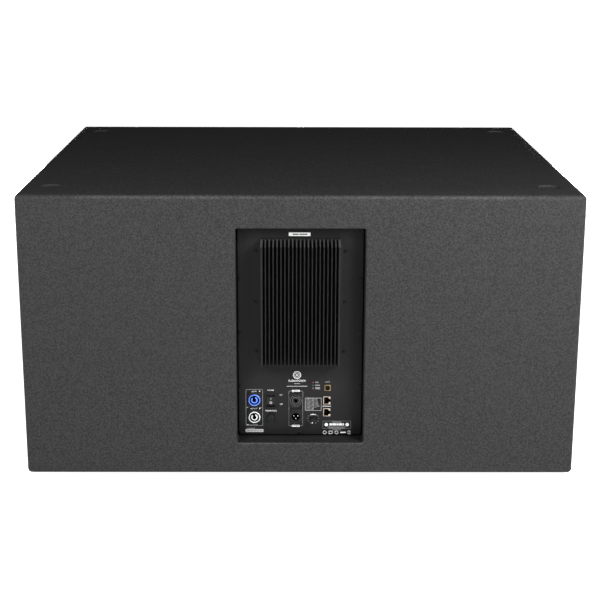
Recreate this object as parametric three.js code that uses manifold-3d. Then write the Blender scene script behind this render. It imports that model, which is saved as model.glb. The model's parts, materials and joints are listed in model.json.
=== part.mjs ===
// Powered loudspeaker subwoofer: a plywood cabinet with two 18-inch woofers behind a steel grille,
// a slot port between them and an amplifier plate sunk into the rear panel.
// Millimetres, +Z up. The grille faces -Y and the amplifier +Y. The origin is on the floor, under the
// middle of the cabinet. Left and right are those of a listener who stands in front of the grille.
import * as THREE from "three";
import { RoundedBoxGeometry } from "three/addons/geometries/RoundedBoxGeometry.js";
import { mergeVertices } from "three/addons/utils/BufferGeometryUtils.js";
import Module from "manifold-3d";

const wasm = await Module();
wasm.setup();

// ---------------------------------------------------------------- driving dimensions

const CABINET = { width: 1060, depth: 900, height: 550, wall: 18, edgeRadius: 6 };
const FOOT = { height: 10, radius: 19, tipRadius: 17 };
const STACKING = { fromSide: 56, fromEnd: 88, cupRadius: 20.5, cupDepth: 5 }; // feet, and the cups for them

const BAFFLE = { inset: 55, thickness: 24 }; // inset is from the cabinet's front edge to the baffle's face
const PORT = { width: 70, wall: 12, height: 470, mouthRadius: 20, depth: 521 };

const GRILLE = { gap: 1, inset: 2, sheet: 1.5, flange: 22 };
const FOAM = { thickness: 8, height: 500, width: 1012 };
const GRILLE_SCREW = {
  spacing: 400, // one in the middle and one this far to each side
  fromFront: 14,
  headRadius: 5.2,
  headHeight: 3.4,
  shankRadius: 2.5,
  shankLength: 18,
  holeRadius: 3,
  counterboreRadius: 9,
  counterboreDepth: 5,
};

const HANDLE = {
  fromMiddle: 230, // along the cabinet's depth
  height: 330, // above the cabinet's underside
  flangeLength: 176,
  flangeHeight: 131,
  flangeRadius: 16,
  flange: 2.5,
  mouthLength: 150,
  mouthHeight: 105,
  mouthRadius: 14,
  dishDepth: 75,
  wall: 2.5,
  gripRadius: 14,
  gripDepth: 19, // from the side of the cabinet to the grip's axis
};

const WOOFER_X = 279; // from the middle of the cabinet to a woofer's axis

// The amplifier's own frame: x to the right as seen from behind, y into the cabinet, z up.
const RECESS = {
  width: 244,
  height: 423,
  depth: 40,
  wall: 18,
  ledge: 14,
  ledgeThickness: 12,
  edgeRadius: 2,
};
const PLATE = { width: 239, height: 418, thickness: 3, cornerRadius: 3 };
const GASKET = { thickness: 2, width: 12 };
const HEAT_SINK = {
  width: 152,
  height: 250,
  middle: 59.5, // above the plate's middle
  base: 6,
  finHeight: 31,
  fins: 21,
  fin: 2.5,
  endFin: 5,
  endSlope: 9, // how much shorter the fins are at their tips, at each end
};
const AMP_COVER = { width: 206, height: 376, depth: 104, sheet: 1.2, lip: 4 };

// Connectors and controls, by their centres on the plate, measured from the plate's middle.
const POWER_INLET = [-89, -137.6];
const POWER_LINK = [-89, -172.9];
const ROCKER = [-56.8, -139];
const FUSE = [-56.8, -172];
const COMBO_INPUT = [-8.3, -138.7];
const LINK_OUTPUT = [-8.3, -172.1];
const LEVEL = [25.8, -176];
const INDICATORS = { x: 25, top: -101.5, pitch: 6, count: 3 };
const USB = [53.5, -112.6];
const ETHERNET_UPPER = [52.2, -138.5];
const ETHERNET_LOWER = [52.2, -162.9];
const FLANGE = { width: 26, height: 31, thickness: 2, cornerRadius: 3 }; // of each round connector

// ---------------------------------------------------------------- solids

const GAP = 0.3; // between pieces that touch on a slope or a curve

// A closed geometry as a manifold-3d solid.
function solid(geometry) {
  const bare = geometry.clone();
  bare.deleteAttribute("normal");
  bare.deleteAttribute("uv");
  const merged = mergeVertices(bare, 1e-3);
  const mesh = new wasm.Mesh({
    numProp: 3,
    vertProperties: merged.attributes.position.array,
    triVerts: new Uint32Array(merged.index.array),
  });
  return new wasm.Manifold(mesh);
}

function geometryOf(made) {
  const mesh = made.getMesh();
  const positions = new Float32Array(mesh.numVert * 3);
  for (let i = 0; i < mesh.numVert; i++) {
    positions.set(mesh.vertProperties.subarray(i * mesh.numProp, i * mesh.numProp + 3), i * 3);
  }
  const geometry = new THREE.BufferGeometry();
  geometry.setAttribute("position", new THREE.BufferAttribute(positions, 3));
  geometry.setIndex(new THREE.BufferAttribute(mesh.triVerts, 1));
  geometry.computeVertexNormals();
  return geometry;
}

// A box between two corners.
function block(low, high) {
  const size = high.map((v, i) => v - low[i]);
  const middle = high.map((v, i) => (v + low[i]) / 2);
  return solid(new THREE.BoxGeometry(...size).translate(...middle));
}

function outline(points) {
  return new THREE.Shape(points.map(([x, y]) => new THREE.Vector2(x, y)));
}

function roundedRectangle(width, height, radius) {
  const [x, y] = [width / 2, height / 2];
  const shape = new THREE.Shape();
  shape.moveTo(-x + radius, -y);
  shape.lineTo(x - radius, -y);
  shape.absarc(x - radius, -y + radius, radius, -Math.PI / 2, 0);
  shape.lineTo(x, y - radius);
  shape.absarc(x - radius, y - radius, radius, 0, Math.PI / 2);
  shape.lineTo(-x + radius, y);
  shape.absarc(-x + radius, y - radius, radius, Math.PI / 2, Math.PI);
  shape.lineTo(-x, -y + radius);
  shape.absarc(-x + radius, -y + radius, radius, Math.PI, 1.5 * Math.PI);
  return shape;
}

// A shape drawn in x and z, extruded along +y from y = from to y = to.
function alongY(shape, from, to, curveSegments = 4) {
  const geometry = new THREE.ExtrudeGeometry(shape, {
    depth: to - from,
    bevelEnabled: false,
    curveSegments,
  });
  geometry.rotateX(Math.PI / 2); // the extrusion now runs towards -y, and the outline stands in x and z
  return solid(geometry.translate(0, to, 0));
}

// A round bar along y, from y = from to y = to.
function barY(radius, from, to, sides = 24) {
  const geometry = new THREE.CylinderGeometry(radius, radius, to - from, sides);
  return solid(geometry.translate(0, (from + to) / 2, 0));
}

// A round bar along z.
function barZ(radius, from, to, sides = 24) {
  const geometry = new THREE.CylinderGeometry(radius, radius, to - from, sides);
  return solid(geometry.rotateX(Math.PI / 2).translate(0, 0, (from + to) / 2));
}

// A closed profile of [radius, y] points turned about the y axis.
function turned(profile, segments = 32) {
  const twiceArea = profile.reduce((sum, [r, y], i) => {
    const [nextR, nextY] = profile[(i + 1) % profile.length];
    return sum + r * nextY - nextR * y;
  }, 0);
  const ordered = twiceArea < 0 ? [...profile].reverse() : [...profile];
  const onAxis = ordered.findIndex(([r], i) => r === 0 && ordered.at(i - 1)[0] === 0);
  const first = Math.max(onAxis, 0);
  const points = [...ordered.slice(first), ...ordered.slice(0, first)];
  if (onAxis < 0) points.push(points[0]);
  return solid(new THREE.LatheGeometry(points.map(([r, y]) => new THREE.Vector2(r, y)), segments));
}

function join(...solids) {
  return solids.reduce((sum, next) => sum.add(next));
}

function cut(body, ...tools) {
  return tools.reduce((left, tool) => left.subtract(tool), body);
}

// ---------------------------------------------------------------- materials

function finish(color, roughness, metalness = 0) {
  return new THREE.MeshStandardMaterial({ color, roughness, metalness });
}

const cabinetPaint = finish(0x2b2b2c, 0.8);
const bareBirch = finish(0xb89468, 0.75);
const blackSteel = finish(0x18181a, 0.55, 0.3);
const blackAluminium = finish(0x1c1c1e, 0.5, 0.4);
const bareSteel = finish(0xb5b6b8, 0.35, 1);
const blackRubber = finish(0x151515, 0.9);
const blackFoam = finish(0x101010, 1);
const blackPlastic = finish(0x17171a, 0.5);
const bluePlastic = finish(0x3f66d8, 0.45);
const greyPlastic = finish(0xd9dbdd, 0.45);
const nickel = finish(0xcbbfae, 0.35, 1);
const paper = finish(0x2a2a2a, 0.95);
const cloth = finish(0x8a6f4a, 0.95);
const copper = finish(0xb06c43, 0.35, 1);
const ferrite = finish(0x232325, 0.6);
const circuitBoard = finish(0x1e5b38, 0.6);
const clearPlastic = finish(0xe6e6e6, 0.2);
const cableSheath = finish(0x121212, 0.6);

// ---------------------------------------------------------------- the assembly's groups

const subwoofer = new THREE.Group();

const cabinet = new THREE.Group(); // z = 0 on the cabinet's underside
cabinet.position.z = FOOT.height;
subwoofer.add(cabinet);

const amplifier = new THREE.Group(); // y = 0 on the rear panel's face, z = 0 at the plate's middle
amplifier.position.set(0, CABINET.depth / 2, CABINET.height / 2);
amplifier.rotation.z = Math.PI;
cabinet.add(amplifier);

function place(parent, name, made, material) {
  const mesh = new THREE.Mesh(geometryOf(made), material);
  mesh.name = name;
  parent.add(mesh);
  return mesh;
}

const halfWidth = CABINET.width / 2;
const halfDepth = CABINET.depth / 2;
const insideX = halfWidth - CABINET.wall;
const insideTop = CABINET.height - CABINET.wall;
const SIDES = [
  ["left", -1],
  ["right", 1],
];
const ENDS = [
  ["front", -1],
  ["rear", 1],
];

// ---------------------------------------------------------------- cabinet panels

const roundedCabinet = solid(
  new RoundedBoxGeometry(CABINET.width, CABINET.depth, CABINET.height, 2, CABINET.edgeRadius).translate(
    0,
    0,
    CABINET.height / 2,
  ),
);

function panel(low, high) {
  return roundedCabinet.intersect(block(low, high));
}

// Where a foot stands, and the cup for the foot of a cabinet stacked above it.
function footSpot(sx, sy) {
  return [sx * (halfWidth - STACKING.fromSide), sy * (halfDepth - STACKING.fromEnd), 0];
}

function topPanel() {
  const top = panel([-halfWidth, -halfDepth, insideTop], [halfWidth, halfDepth, CABINET.height]);
  const tools = [];
  for (const [, sx] of SIDES) {
    for (const [, sy] of ENDS) {
      const cup = barZ(STACKING.cupRadius, CABINET.height - STACKING.cupDepth, CABINET.height + 1, 20);
      tools.push(cup.translate(footSpot(sx, sy)));
    }
  }
  for (const step of [-1, 0, 1]) {
    const at = [step * GRILLE_SCREW.spacing, -halfDepth + GRILLE_SCREW.fromFront, 0];
    const floor = CABINET.height - GRILLE_SCREW.counterboreDepth;
    tools.push(barZ(GRILLE_SCREW.counterboreRadius, floor, CABINET.height + 1, 16).translate(at));
    tools.push(barZ(GRILLE_SCREW.holeRadius, insideTop - 1, CABINET.height, 8).translate(at));
  }
  return cut(top, ...tools);
}

// A side panel, with each handle's hole and the shallow rebate that its flange lies in.
function sidePanel(sx) {
  const xs = [sx * insideX, sx * halfWidth].sort((a, b) => a - b);
  const body = panel([xs[0], -halfDepth, CABINET.wall], [xs[1], halfDepth, insideTop]);
  const fit = 1; // how much larger than the handle its hole and rebate are
  const { mouthLength, mouthHeight, mouthRadius, wall, flangeLength, flangeHeight, flangeRadius } = HANDLE;
  const hole = roundedRectangle(mouthLength + 2 * wall + fit, mouthHeight + 2 * wall + fit, mouthRadius);
  const rebate = roundedRectangle(flangeLength + fit, flangeHeight + fit, flangeRadius);
  const cutter = join(alongY(hole, -1, CABINET.wall + 1, 2), alongY(rebate, -1, HANDLE.flange + GAP, 2));
  const tools = ENDS.map(([, sy]) =>
    cutter.rotate([0, 0, sx * 90]).translate([sx * halfWidth, sy * HANDLE.fromMiddle, HANDLE.height]),
  );
  return cut(body, ...tools);
}

function rearPanel() {
  const { width, height, edgeRadius } = RECESS;
  const inner = halfDepth - CABINET.wall;
  const middle = CABINET.height / 2;
  const body = panel([-insideX, inner, CABINET.wall], [insideX, halfDepth, insideTop]);
  const hole = alongY(roundedRectangle(width, height, edgeRadius), inner - 1, halfDepth + 1);
  const rounding = roundedEdge(width, height, edgeRadius);
  return cut(body, hole.translate([0, 0, middle]), rounding.translate([0, halfDepth, middle]));
}

// What a hole in a face at y = 0 loses when its edge is rounded: a flare that opens towards +y.
function roundedEdge(width, height, radius) {
  const steps = 2;
  const depth = (step) => radius * (1 - Math.sin((Math.PI / 2) * (step / steps)));
  const layers = [];
  for (let i = 0; i < steps; i++) {
    const grow = radius * (1 - Math.cos((Math.PI / 2) * ((i + 0.5) / steps)));
    const shape = roundedRectangle(width + 2 * grow, height + 2 * grow, radius + grow);
    layers.push(alongY(shape, -depth(i), i === steps - 1 ? 1 : -depth(i + 1)));
  }
  return join(...layers);
}

function frontBaffle() {
  const front = -halfDepth + BAFFLE.inset;
  const back = front + BAFFLE.thickness;
  const middle = CABINET.height / 2;
  const body = block([-insideX, front, CABINET.wall], [insideX, back, insideTop]);
  const tools = SIDES.map(([, sx]) =>
    barY(WOOFER.cutoutRadius, front - 1, back + 1, 32).translate([sx * WOOFER_X, 0, middle]),
  );
  const mouth = roundedRectangle(PORT.width, PORT.height, PORT.mouthRadius);
  tools.push(alongY(mouth, front - 1, back + 1).translate([0, 0, middle]));
  return cut(body, ...tools);
}

// ---------------------------------------------------------------- woofers

// A woofer's own frame: y = 0 on the baffle's face, +y towards the listener.
const WOOFER = {
  cutoutRadius: 212,
  flangeRadius: 228.5,
  flange: 8,
  rimRadius: 205, // inside edge of the flange
  ledge: 8, // where the surround's edge is glued
  shelfRadius: 108,
  shelfY: -128,
  bottomY: -160,
  bottomRadius: 100,
  terminalRadius: 128,
  wall: 5,
  coneRadius: 178,
  coneY: -7,
  neckRadius: 51,
  neckY: -118,
  paper: 2.5,
  rollRadius: 12,
  rubber: 1.6,
  coilRadius: 50,
  coilWall: 1,
  coilLength: 72,
};

function wooferBasket() {
  const w = WOOFER;
  const shell = turned(
    [
      [w.rimRadius, w.flange],
      [w.flangeRadius, w.flange],
      [w.flangeRadius, 0],
      [w.rimRadius + w.wall, 0],
      [w.shelfRadius + 24 + w.wall, w.shelfY + 6],
      [w.shelfRadius + w.wall + 8, w.shelfY - w.wall],
      [w.bottomRadius + w.wall, w.bottomY - w.wall],
      [58, w.bottomY - w.wall],
      [58, w.bottomY],
      [w.bottomRadius, w.bottomY],
      [w.shelfRadius, w.shelfY],
      [w.shelfRadius + 16, w.shelfY],
      [w.rimRadius - w.ledge, -w.wall - 3],
      [w.rimRadius - w.ledge, -w.wall],
      [w.rimRadius, -w.wall],
    ],
    24,
  );
  const windows = [];
  const spokes = 6;
  for (let i = 0; i < spokes; i++) {
    const window = block([-58, -112, 140], [58, -28, 260]);
    windows.push(window.rotate([0, (i * 360) / spokes, 0]));
  }
  const below = -w.terminalRadius;
  const terminals = block([-14, w.shelfY - 20, below], [14, w.shelfY - 6, below + 12]);
  return join(cut(shell, ...windows), terminals);
}

function wooferMagnet() {
  const top = WOOFER.bottomY - WOOFER.wall - GAP;
  const [ventRadius, poleRadius, gapRadius, plateRadius, magnetRadius] = [18, 47, 53.5, 92, 110];
  const [topPlate, ringDepth, backPlate] = [12, 42, 54];
  return turned(
    [
      [ventRadius, top],
      [poleRadius, top],
      [poleRadius, top - ringDepth],
      [gapRadius, top - ringDepth],
      [gapRadius, top],
      [plateRadius, top],
      [plateRadius, top - topPlate],
      [magnetRadius, top - topPlate],
      [magnetRadius, top - ringDepth],
      [plateRadius, top - ringDepth],
      [plateRadius, top - backPlate],
      [ventRadius, top - backPlate],
    ],
    20,
  );
}

function wooferCone() {
  const w = WOOFER;
  return turned(
    [
      [w.neckRadius + 0.6, w.neckY],
      [w.coneRadius, w.coneY],
      [w.coneRadius, w.coneY + w.paper],
      [w.neckRadius + 0.6, w.neckY + 2 * w.paper],
    ],
    40,
  );
}

function wooferDustCap() {
  const radius = 62;
  const coneSlope = (WOOFER.coneY - WOOFER.neckY) / (WOOFER.coneRadius - WOOFER.neckRadius);
  const base = WOOFER.neckY + 2 * WOOFER.paper + coneSlope * (radius - WOOFER.neckRadius) + 1;
  const outer = [];
  const inner = [];
  const steps = 4;
  for (let i = 0; i <= steps; i++) {
    const turn = (Math.PI / 2) * (i / steps);
    const across = i === steps ? 0 : Math.cos(turn);
    outer.push([radius * across, base + 20 * Math.sin(turn)]);
    inner.push([(radius - 2) * across, base + 18 * Math.sin(turn)]);
  }
  return turned([...outer, ...inner.reverse()], 24);
}

// The rubber half roll between the cone's edge and the basket's rim.
function wooferSurround() {
  const w = WOOFER;
  const middle = (w.coneRadius + w.rimRadius) / 2;
  const lipY = w.coneY + w.paper;
  const outer = [];
  const inner = [];
  const steps = 5;
  for (let i = 0; i <= steps; i++) {
    const turn = Math.PI * (1 - i / steps);
    outer.push([middle + w.rollRadius * Math.cos(turn), lipY + w.rubber + w.rollRadius * Math.sin(turn)]);
    inner.push([
      middle + (w.rollRadius - w.rubber) * Math.cos(turn),
      lipY + w.rubber + (w.rollRadius - w.rubber) * Math.sin(turn),
    ]);
  }
  return turned(
    [
      [w.coneRadius - 8, lipY + GAP],
      [w.coneRadius - 8, lipY + w.rubber],
      ...outer,
      [w.rimRadius - GAP, lipY + w.rubber],
      [w.rimRadius - GAP, lipY + GAP],
      ...inner.reverse(),
      [middle - w.rollRadius + w.rubber, lipY + GAP],
    ],
    24,
  );
}

// The corrugated cloth disc that centres the voice coil.
function wooferSpider() {
  const [inner, outer] = [WOOFER.coilRadius + WOOFER.coilWall + 1, WOOFER.shelfRadius + 14];
  const y = WOOFER.shelfY + GAP;
  const waves = 3;
  const upper = [];
  for (let i = 0; i <= 2 * waves; i++) {
    upper.push([inner + 2 + ((outer - 12 - inner) * i) / (2 * waves), y + (i % 2 ? 5 : 1.5)]);
  }
  const lower = upper.map(([r, h]) => [r, h - 1.2]).reverse();
  const [top, bottom] = [y + 1.5, y + 0.3];
  return turned([[inner, top], ...upper, [outer, top], [outer, bottom], ...lower, [inner, bottom]], 20);
}

function wooferCoil() {
  const { coilRadius: r, coilWall: t, neckY, coilLength } = WOOFER;
  return turned(
    [
      [r - t, neckY - coilLength + 12],
      [r + t - GAP, neckY - coilLength + 12],
      [r + t - GAP, neckY + 6],
      [r - t, neckY + 6],
    ],
    24,
  );
}

// ---------------------------------------------------------------- grille

function frontGrille() {
  const [w, h] = [insideX - GRILLE.gap, insideTop / 2 - CABINET.wall / 2 - GRILLE.gap];
  const y = -halfDepth + GRILLE.inset;
  const tray = block([-w, y, -h], [w, y + GRILLE.flange, h]);
  const hollow = block(
    [-w + GRILLE.sheet, y + GRILLE.sheet, -h + GRILLE.sheet],
    [w - GRILLE.sheet, y + GRILLE.flange + 1, h - GRILLE.sheet],
  );
  const holes = [-1, 0, 1].map((step) =>
    barZ(GRILLE_SCREW.holeRadius, h - 5, h + 1, 12).translate([
      step * GRILLE_SCREW.spacing,
      -halfDepth + GRILLE_SCREW.fromFront,
      0,
    ]),
  );
  return cut(tray, hollow, ...holes).translate([0, 0, CABINET.height / 2]);
}

function grilleFoam() {
  const y = -halfDepth + GRILLE.inset + GRILLE.sheet + GAP;
  const [x, z] = [FOAM.width / 2, FOAM.height / 2];
  return block([-x, y, -z], [x, y + FOAM.thickness, z]).translate([0, 0, CABINET.height / 2]);
}

function grilleScrew() {
  const seat = CABINET.height - GRILLE_SCREW.counterboreDepth;
  const head = barZ(GRILLE_SCREW.headRadius, seat, seat + GRILLE_SCREW.headHeight, 16);
  const shank = barZ(GRILLE_SCREW.shankRadius, seat - GRILLE_SCREW.shankLength, seat + 1, 8);
  const slot = block([-3, -0.6, seat + 1.8], [3, 0.6, seat + GRILLE_SCREW.headHeight + 1]);
  return cut(join(head, shank), slot, slot.rotate([0, 0, 90]));
}

// ---------------------------------------------------------------- handles and feet

// A recessed bar handle in its own frame: y = 0 on the cabinet's side, +y into the cabinet.
function sideHandle() {
  const h = HANDLE;
  const corner = 2; // facets in a quarter circle
  const face = roundedRectangle(h.flangeLength, h.flangeHeight, h.flangeRadius);
  const flange = alongY(face, 0, h.flange, corner);
  const [outerL, outerH] = [h.mouthLength + 2 * h.wall, h.mouthHeight + 2 * h.wall];
  const dish = alongY(roundedRectangle(outerL, outerH, h.mouthRadius), 0, h.dishDepth, corner);
  const mouth = roundedRectangle(h.mouthLength, h.mouthHeight, h.mouthRadius - h.wall);
  const hollow = alongY(mouth, -1, h.dishDepth - h.wall, corner);
  const bar = new THREE.CylinderGeometry(h.gripRadius, h.gripRadius, h.mouthLength + h.wall, 16);
  const grip = solid(bar.rotateZ(Math.PI / 2).translate(0, h.gripDepth, 0));
  return join(cut(join(flange, dish), hollow), grip);
}

function rubberFoot() {
  const body = turned(
    [
      [0, 0],
      [FOOT.tipRadius - 1.5, 0],
      [FOOT.tipRadius, 1.5],
      [FOOT.radius, FOOT.height],
      [0, FOOT.height],
    ],
    20,
  );
  return body.rotate([90, 0, 0]);
}

// ---------------------------------------------------------------- amplifier module

function recessFrame() {
  const { width, height, wall, ledge, edgeRadius } = RECESS;
  const cornerRadius = 2;
  const ledgeTop = RECESS.depth + PLATE.thickness + GASKET.thickness;
  const far = ledgeTop + RECESS.ledgeThickness;
  const outer = roundedRectangle(width + 2 * wall, height + 2 * wall, cornerRadius);
  const inner = roundedRectangle(width - 2 * ledge, height - 2 * ledge, cornerRadius);
  const body = alongY(outer, CABINET.wall, far);
  const tunnel = alongY(roundedRectangle(width, height, edgeRadius), CABINET.wall - 1, ledgeTop);
  const throat = alongY(inner, ledgeTop - 1, far + 1);
  return cut(body, tunnel, throat);
}

function at([x, z], made) {
  return made.translate([x, 0, z]);
}

const plateFront = RECESS.depth;
const plateBack = RECESS.depth + PLATE.thickness;

function ampPlate() {
  const { width, height, cornerRadius } = PLATE;
  const [front, back] = [plateFront - 1, plateBack + 1];
  const body = alongY(roundedRectangle(width, height, cornerRadius), plateFront, plateBack);
  const round = (radius) => barY(radius, front, back, 16);
  const square = (w, h) => block([-w / 2, front, -h / 2], [w / 2, back, h / 2]);
  const holes = [POWER_INLET, POWER_LINK, COMBO_INPUT, LINK_OUTPUT].map((spot) => at(spot, round(12.3)));
  holes.push(at([COMBO_INPUT[0], COMBO_INPUT[1] + 12], square(9, 6)));
  holes.push(at(ROCKER, square(19.6, 27.6)), at(FUSE, round(6.4)), at(LEVEL, round(3.8)));
  holes.push(at(USB, square(12.6, 12.8)));
  holes.push(at(ETHERNET_UPPER, square(14.4, 16.6)), at(ETHERNET_LOWER, square(14.4, 16.6)));
  for (let i = 0; i < INDICATORS.count; i++) {
    const z = INDICATORS.top - i * INDICATORS.pitch;
    holes.push(at([INDICATORS.x, z], barY(1.8, front, back, 8)));
  }
  return cut(body, ...holes);
}

function ampGasket() {
  const outer = roundedRectangle(PLATE.width, PLATE.height, PLATE.cornerRadius);
  const inner = roundedRectangle(PLATE.width - 2 * GASKET.width, PLATE.height - 2 * GASKET.width, 2);
  const back = plateBack + GASKET.thickness;
  return cut(alongY(outer, plateBack, back), alongY(inner, plateBack - 1, back + 1));
}

// An extruded comb, its fins cut back at a slope at both ends.
function heatSink() {
  const { width, height, base, finHeight, fins, fin, endFin, endSlope, middle } = HEAT_SINK;
  const root = plateFront - base;
  const tip = root - finHeight;
  const pitch = (width - endFin) / (fins - 1);
  const comb = [
    [-width / 2, plateFront],
    [width / 2, plateFront],
  ];
  for (let i = fins - 1; i >= 0; i--) {
    const centre = -width / 2 + endFin / 2 + i * pitch;
    const half = i === 0 || i === fins - 1 ? endFin / 2 : fin / 2;
    const [right, left] = [centre + half, centre - half];
    if (i < fins - 1) comb.push([right, root]);
    comb.push([right, tip], [left, tip]);
    if (i > 0) comb.push([left, root]);
  }
  const extrusion = new THREE.ExtrudeGeometry(outline(comb), { depth: height, bevelEnabled: false });
  const body = solid(extrusion.translate(0, 0, -height / 2));
  const slope = endSlope / finHeight;
  const trim = [1, -1].map((end) =>
    alongX(
      outline([
        [root + 1, end * (height / 2 + slope)],
        [tip - 1, end * (height / 2 - endSlope - slope)],
        [tip - 1, end * (height / 2 + 10)],
        [root + 1, end * (height / 2 + 10)],
      ]),
      width / 2 + 1,
    ),
  );
  return cut(body, ...trim).translate([0, 0, middle]);
}

// A shape drawn in y and z, extruded along x for the same distance to both sides.
function alongX(shape, reach) {
  const geometry = new THREE.ExtrudeGeometry(shape, { depth: 2 * reach, bevelEnabled: false });
  geometry.translate(0, 0, -reach);
  // (x, y, z) of the drawing becomes (z, x, y) of the part.
  const turn = new THREE.Matrix4().set(0, 0, 1, 0, 1, 0, 0, 0, 0, 1, 0, 0, 0, 0, 0, 1);
  return solid(geometry.applyMatrix4(turn));
}

// The folded steel cover behind the plate, open towards it, with a lip all round.
function ampCover() {
  const { width, height, depth, sheet, lip } = AMP_COVER;
  const [x, z] = [width / 2, height / 2];
  const shell = cut(
    block([-x, plateBack, -z], [x, plateBack + depth, z]),
    block([-x + sheet, plateBack - 1, -z + sheet], [x - sheet, plateBack + depth - sheet, z - sheet]),
  );
  const flange = cut(
    block([-x - lip, plateBack, -z - lip], [x + lip, plateBack + sheet, z + lip]),
    block([-x + sheet, plateBack - 1, -z + sheet], [x - sheet, plateBack + 5, z - sheet]),
  );
  return join(shell, flange);
}

// The legs that hold a board off the back of the plate, one at each crossing of the given lines.
function standoffs(face, xs, zs) {
  return xs.flatMap((x) => zs.map((z) => barY(2.5, plateBack, face + 1, 8).translate([x, 0, z])));
}

// A board with square-edged components on it, each given by its x range, its z range and its height.
function board(face, xs, zs, components) {
  const thickness = 1.6;
  const parts = [block([xs[0], face, zs[0]], [xs[1], face + thickness, zs[1]])];
  for (const [[left, right], [low, high], tall] of components) {
    parts.push(block([left, face + 1, low], [right, face + 1 + tall, high]));
  }
  return parts;
}

// The upper board: switching supply and output stage, standing off the back of the plate.
function powerBoard() {
  const face = plateBack + 12;
  const transformer = [[-70, -18], [90, 145], 48];
  const inductor = [[10, 60], [100, 140], 30];
  const heatSpreaders = [[[-75, -55], [-60, 40], 34], [[55, 75], [-60, 40], 34]];
  const parts = board(face, [-85, 85], [-70, 170], [transformer, inductor, ...heatSpreaders]);
  parts.push(...standoffs(face, [-78, 78], [-63, 163]));
  for (let i = 0; i < 4; i++) {
    parts.push(barY(15, face + 1, face + 52, 12).translate([-48 + 32 * i, 0, 62])); // reservoir capacitors
  }
  for (let i = 0; i < 2; i++) {
    parts.push(barY(18, face + 1, face + 22, 12).translate([-20 + 44 * i, 0, -20])); // toroidal chokes
  }
  return join(...parts);
}

// The lower board: signal processing, behind the sockets and controls.
function signalBoard() {
  const face = plateBack + 36;
  const processor = [[10, 34], [-150, -126], 4];
  const memory = [[48, 66], [-150, -110], 3];
  const relay = [[-28, -10], [-110, -96], 14];
  const header = [[-28, 0], [-170, -160], 9];
  const parts = board(face, [-40, 84], [-182, -78], [processor, memory, relay, header]);
  parts.push(...standoffs(face, [-34, 78], [-177, -84]));
  return join(...parts);
}

// ---------------------------------------------------------------- connectors

function connectorFlange() {
  const shape = roundedRectangle(FLANGE.width, FLANGE.height, FLANGE.cornerRadius);
  return alongY(shape, plateFront - FLANGE.thickness, plateFront);
}

// A locking mains connector: an outer ring, a deep groove and a slotted core.
function mainsConnector() {
  const front = plateFront - FLANGE.thickness - 1.2;
  const back = plateBack + 30;
  const [ring, grooveOuter, core, bore] = [11.8, 8.6, 5.6, 2.8];
  const body = join(connectorFlange(), barY(ring, front, back, 20));
  const groove = cut(barY(grooveOuter, front - 1, back - 10, 20), barY(core, front - 2, back, 16));
  const boreHole = barY(bore, front - 1, back - 12, 12);
  const slot = block([-1.4, front - 1, 1], [1.4, back - 12, core + 1]);
  return cut(body, groove, boreHole, slot);
}

// A combined jack and microphone socket: a ring groove round an insert with a three-lobed bore.
function comboInput() {
  const front = plateFront - FLANGE.thickness - 0.8;
  const back = plateBack + 27;
  const body = join(connectorFlange(), barY(11.8, front, back, 20));
  const groove = cut(barY(9.6, front - 1, back - 14, 20), barY(8.2, front - 2, back, 20));
  const bore = barY(3.4, front - 1, back - 6, 12);
  const lobes = [90, 210, 330].map((angle) => {
    const turn = (angle * Math.PI) / 180;
    return barY(1.6, front - 1, back - 8, 8).translate([4 * Math.cos(turn), 0, 4 * Math.sin(turn)]);
  });
  const latchSlot = block([-3.8, front - 1, 9.9], [3.8, back - 12, 15]);
  return cut(body, groove, bore, ...lobes, latchSlot);
}

// The press tab at the top of the socket, which frees a locked plug.
function comboLatch() {
  return block([-3.4, plateFront - FLANGE.thickness - 2.2, 10.4], [3.4, plateBack + 8, 14.4]);
}

// A male microphone-type connector: a deep round cavity with three pins on its floor.
function linkOutput() {
  const front = plateFront - FLANGE.thickness - 0.8;
  const back = plateBack + 20;
  const body = join(connectorFlange(), barY(11.8, front, back, 20));
  const cavity = barY(8.3, front - 1, back - 6, 20);
  const pins = [35, 145, 270].map((angle) => {
    const turn = (angle * Math.PI) / 180;
    return barY(1.2, front + 3, back, 8).translate([4.6 * Math.cos(turn), 0, 4.6 * Math.sin(turn)]);
  });
  return join(cut(body, cavity), ...pins);
}

// An eight-way data socket lying on its side: the latch notch is on the right.
function ethernetJack() {
  const front = plateFront - 0.6;
  const back = plateBack + 15;
  const body = block([-7, front, -8.1], [7, back, 8.1]);
  const mouth = block([-4.2, front - 1, -5.9], [2.6, back - 4, 5.9]);
  const notch = block([2, front - 1, -3.1], [4.2, back - 6, 3.1]);
  const innerNotch = block([4, front - 1, -1.6], [5.6, back - 6, 1.6]);
  const contacts = block([-4.4, front + 4, -4.2], [-3.2, back - 3, 4.2]);
  return join(cut(body, mouth, notch, innerNotch), contacts);
}

function usbPort() {
  const front = plateFront - 0.6;
  const back = plateBack + 14;
  const body = block([-6.1, front, -6.2], [6.1, back, 6.2]);
  const mouth = alongY(
    outline([
      [-3.9, -4.2],
      [2.2, -4.2],
      [3.9, -2.5],
      [3.9, 2.5],
      [2.2, 4.2],
      [-3.9, 4.2],
    ]),
    front - 1,
    back - 4,
  );
  const tongue = block([-1.6, front + 1.5, -2.8], [1.6, back - 3, 2.8]);
  return join(cut(body, mouth), tongue);
}

// Three light guides on one backing strip.
function lightPipe() {
  const lowest = INDICATORS.top - (INDICATORS.count - 1) * INDICATORS.pitch;
  const strip = block([-4, plateBack + 1, lowest - 4], [4, plateBack + 5, INDICATORS.top + 4]);
  const guides = Array.from({ length: INDICATORS.count }, (_, i) =>
    barY(1.5, plateFront - 0.8, plateBack + 2, 8).translate([0, 0, INDICATORS.top - i * INDICATORS.pitch]),
  );
  return join(strip, ...guides).translate([INDICATORS.x, 0, 0]);
}

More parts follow.
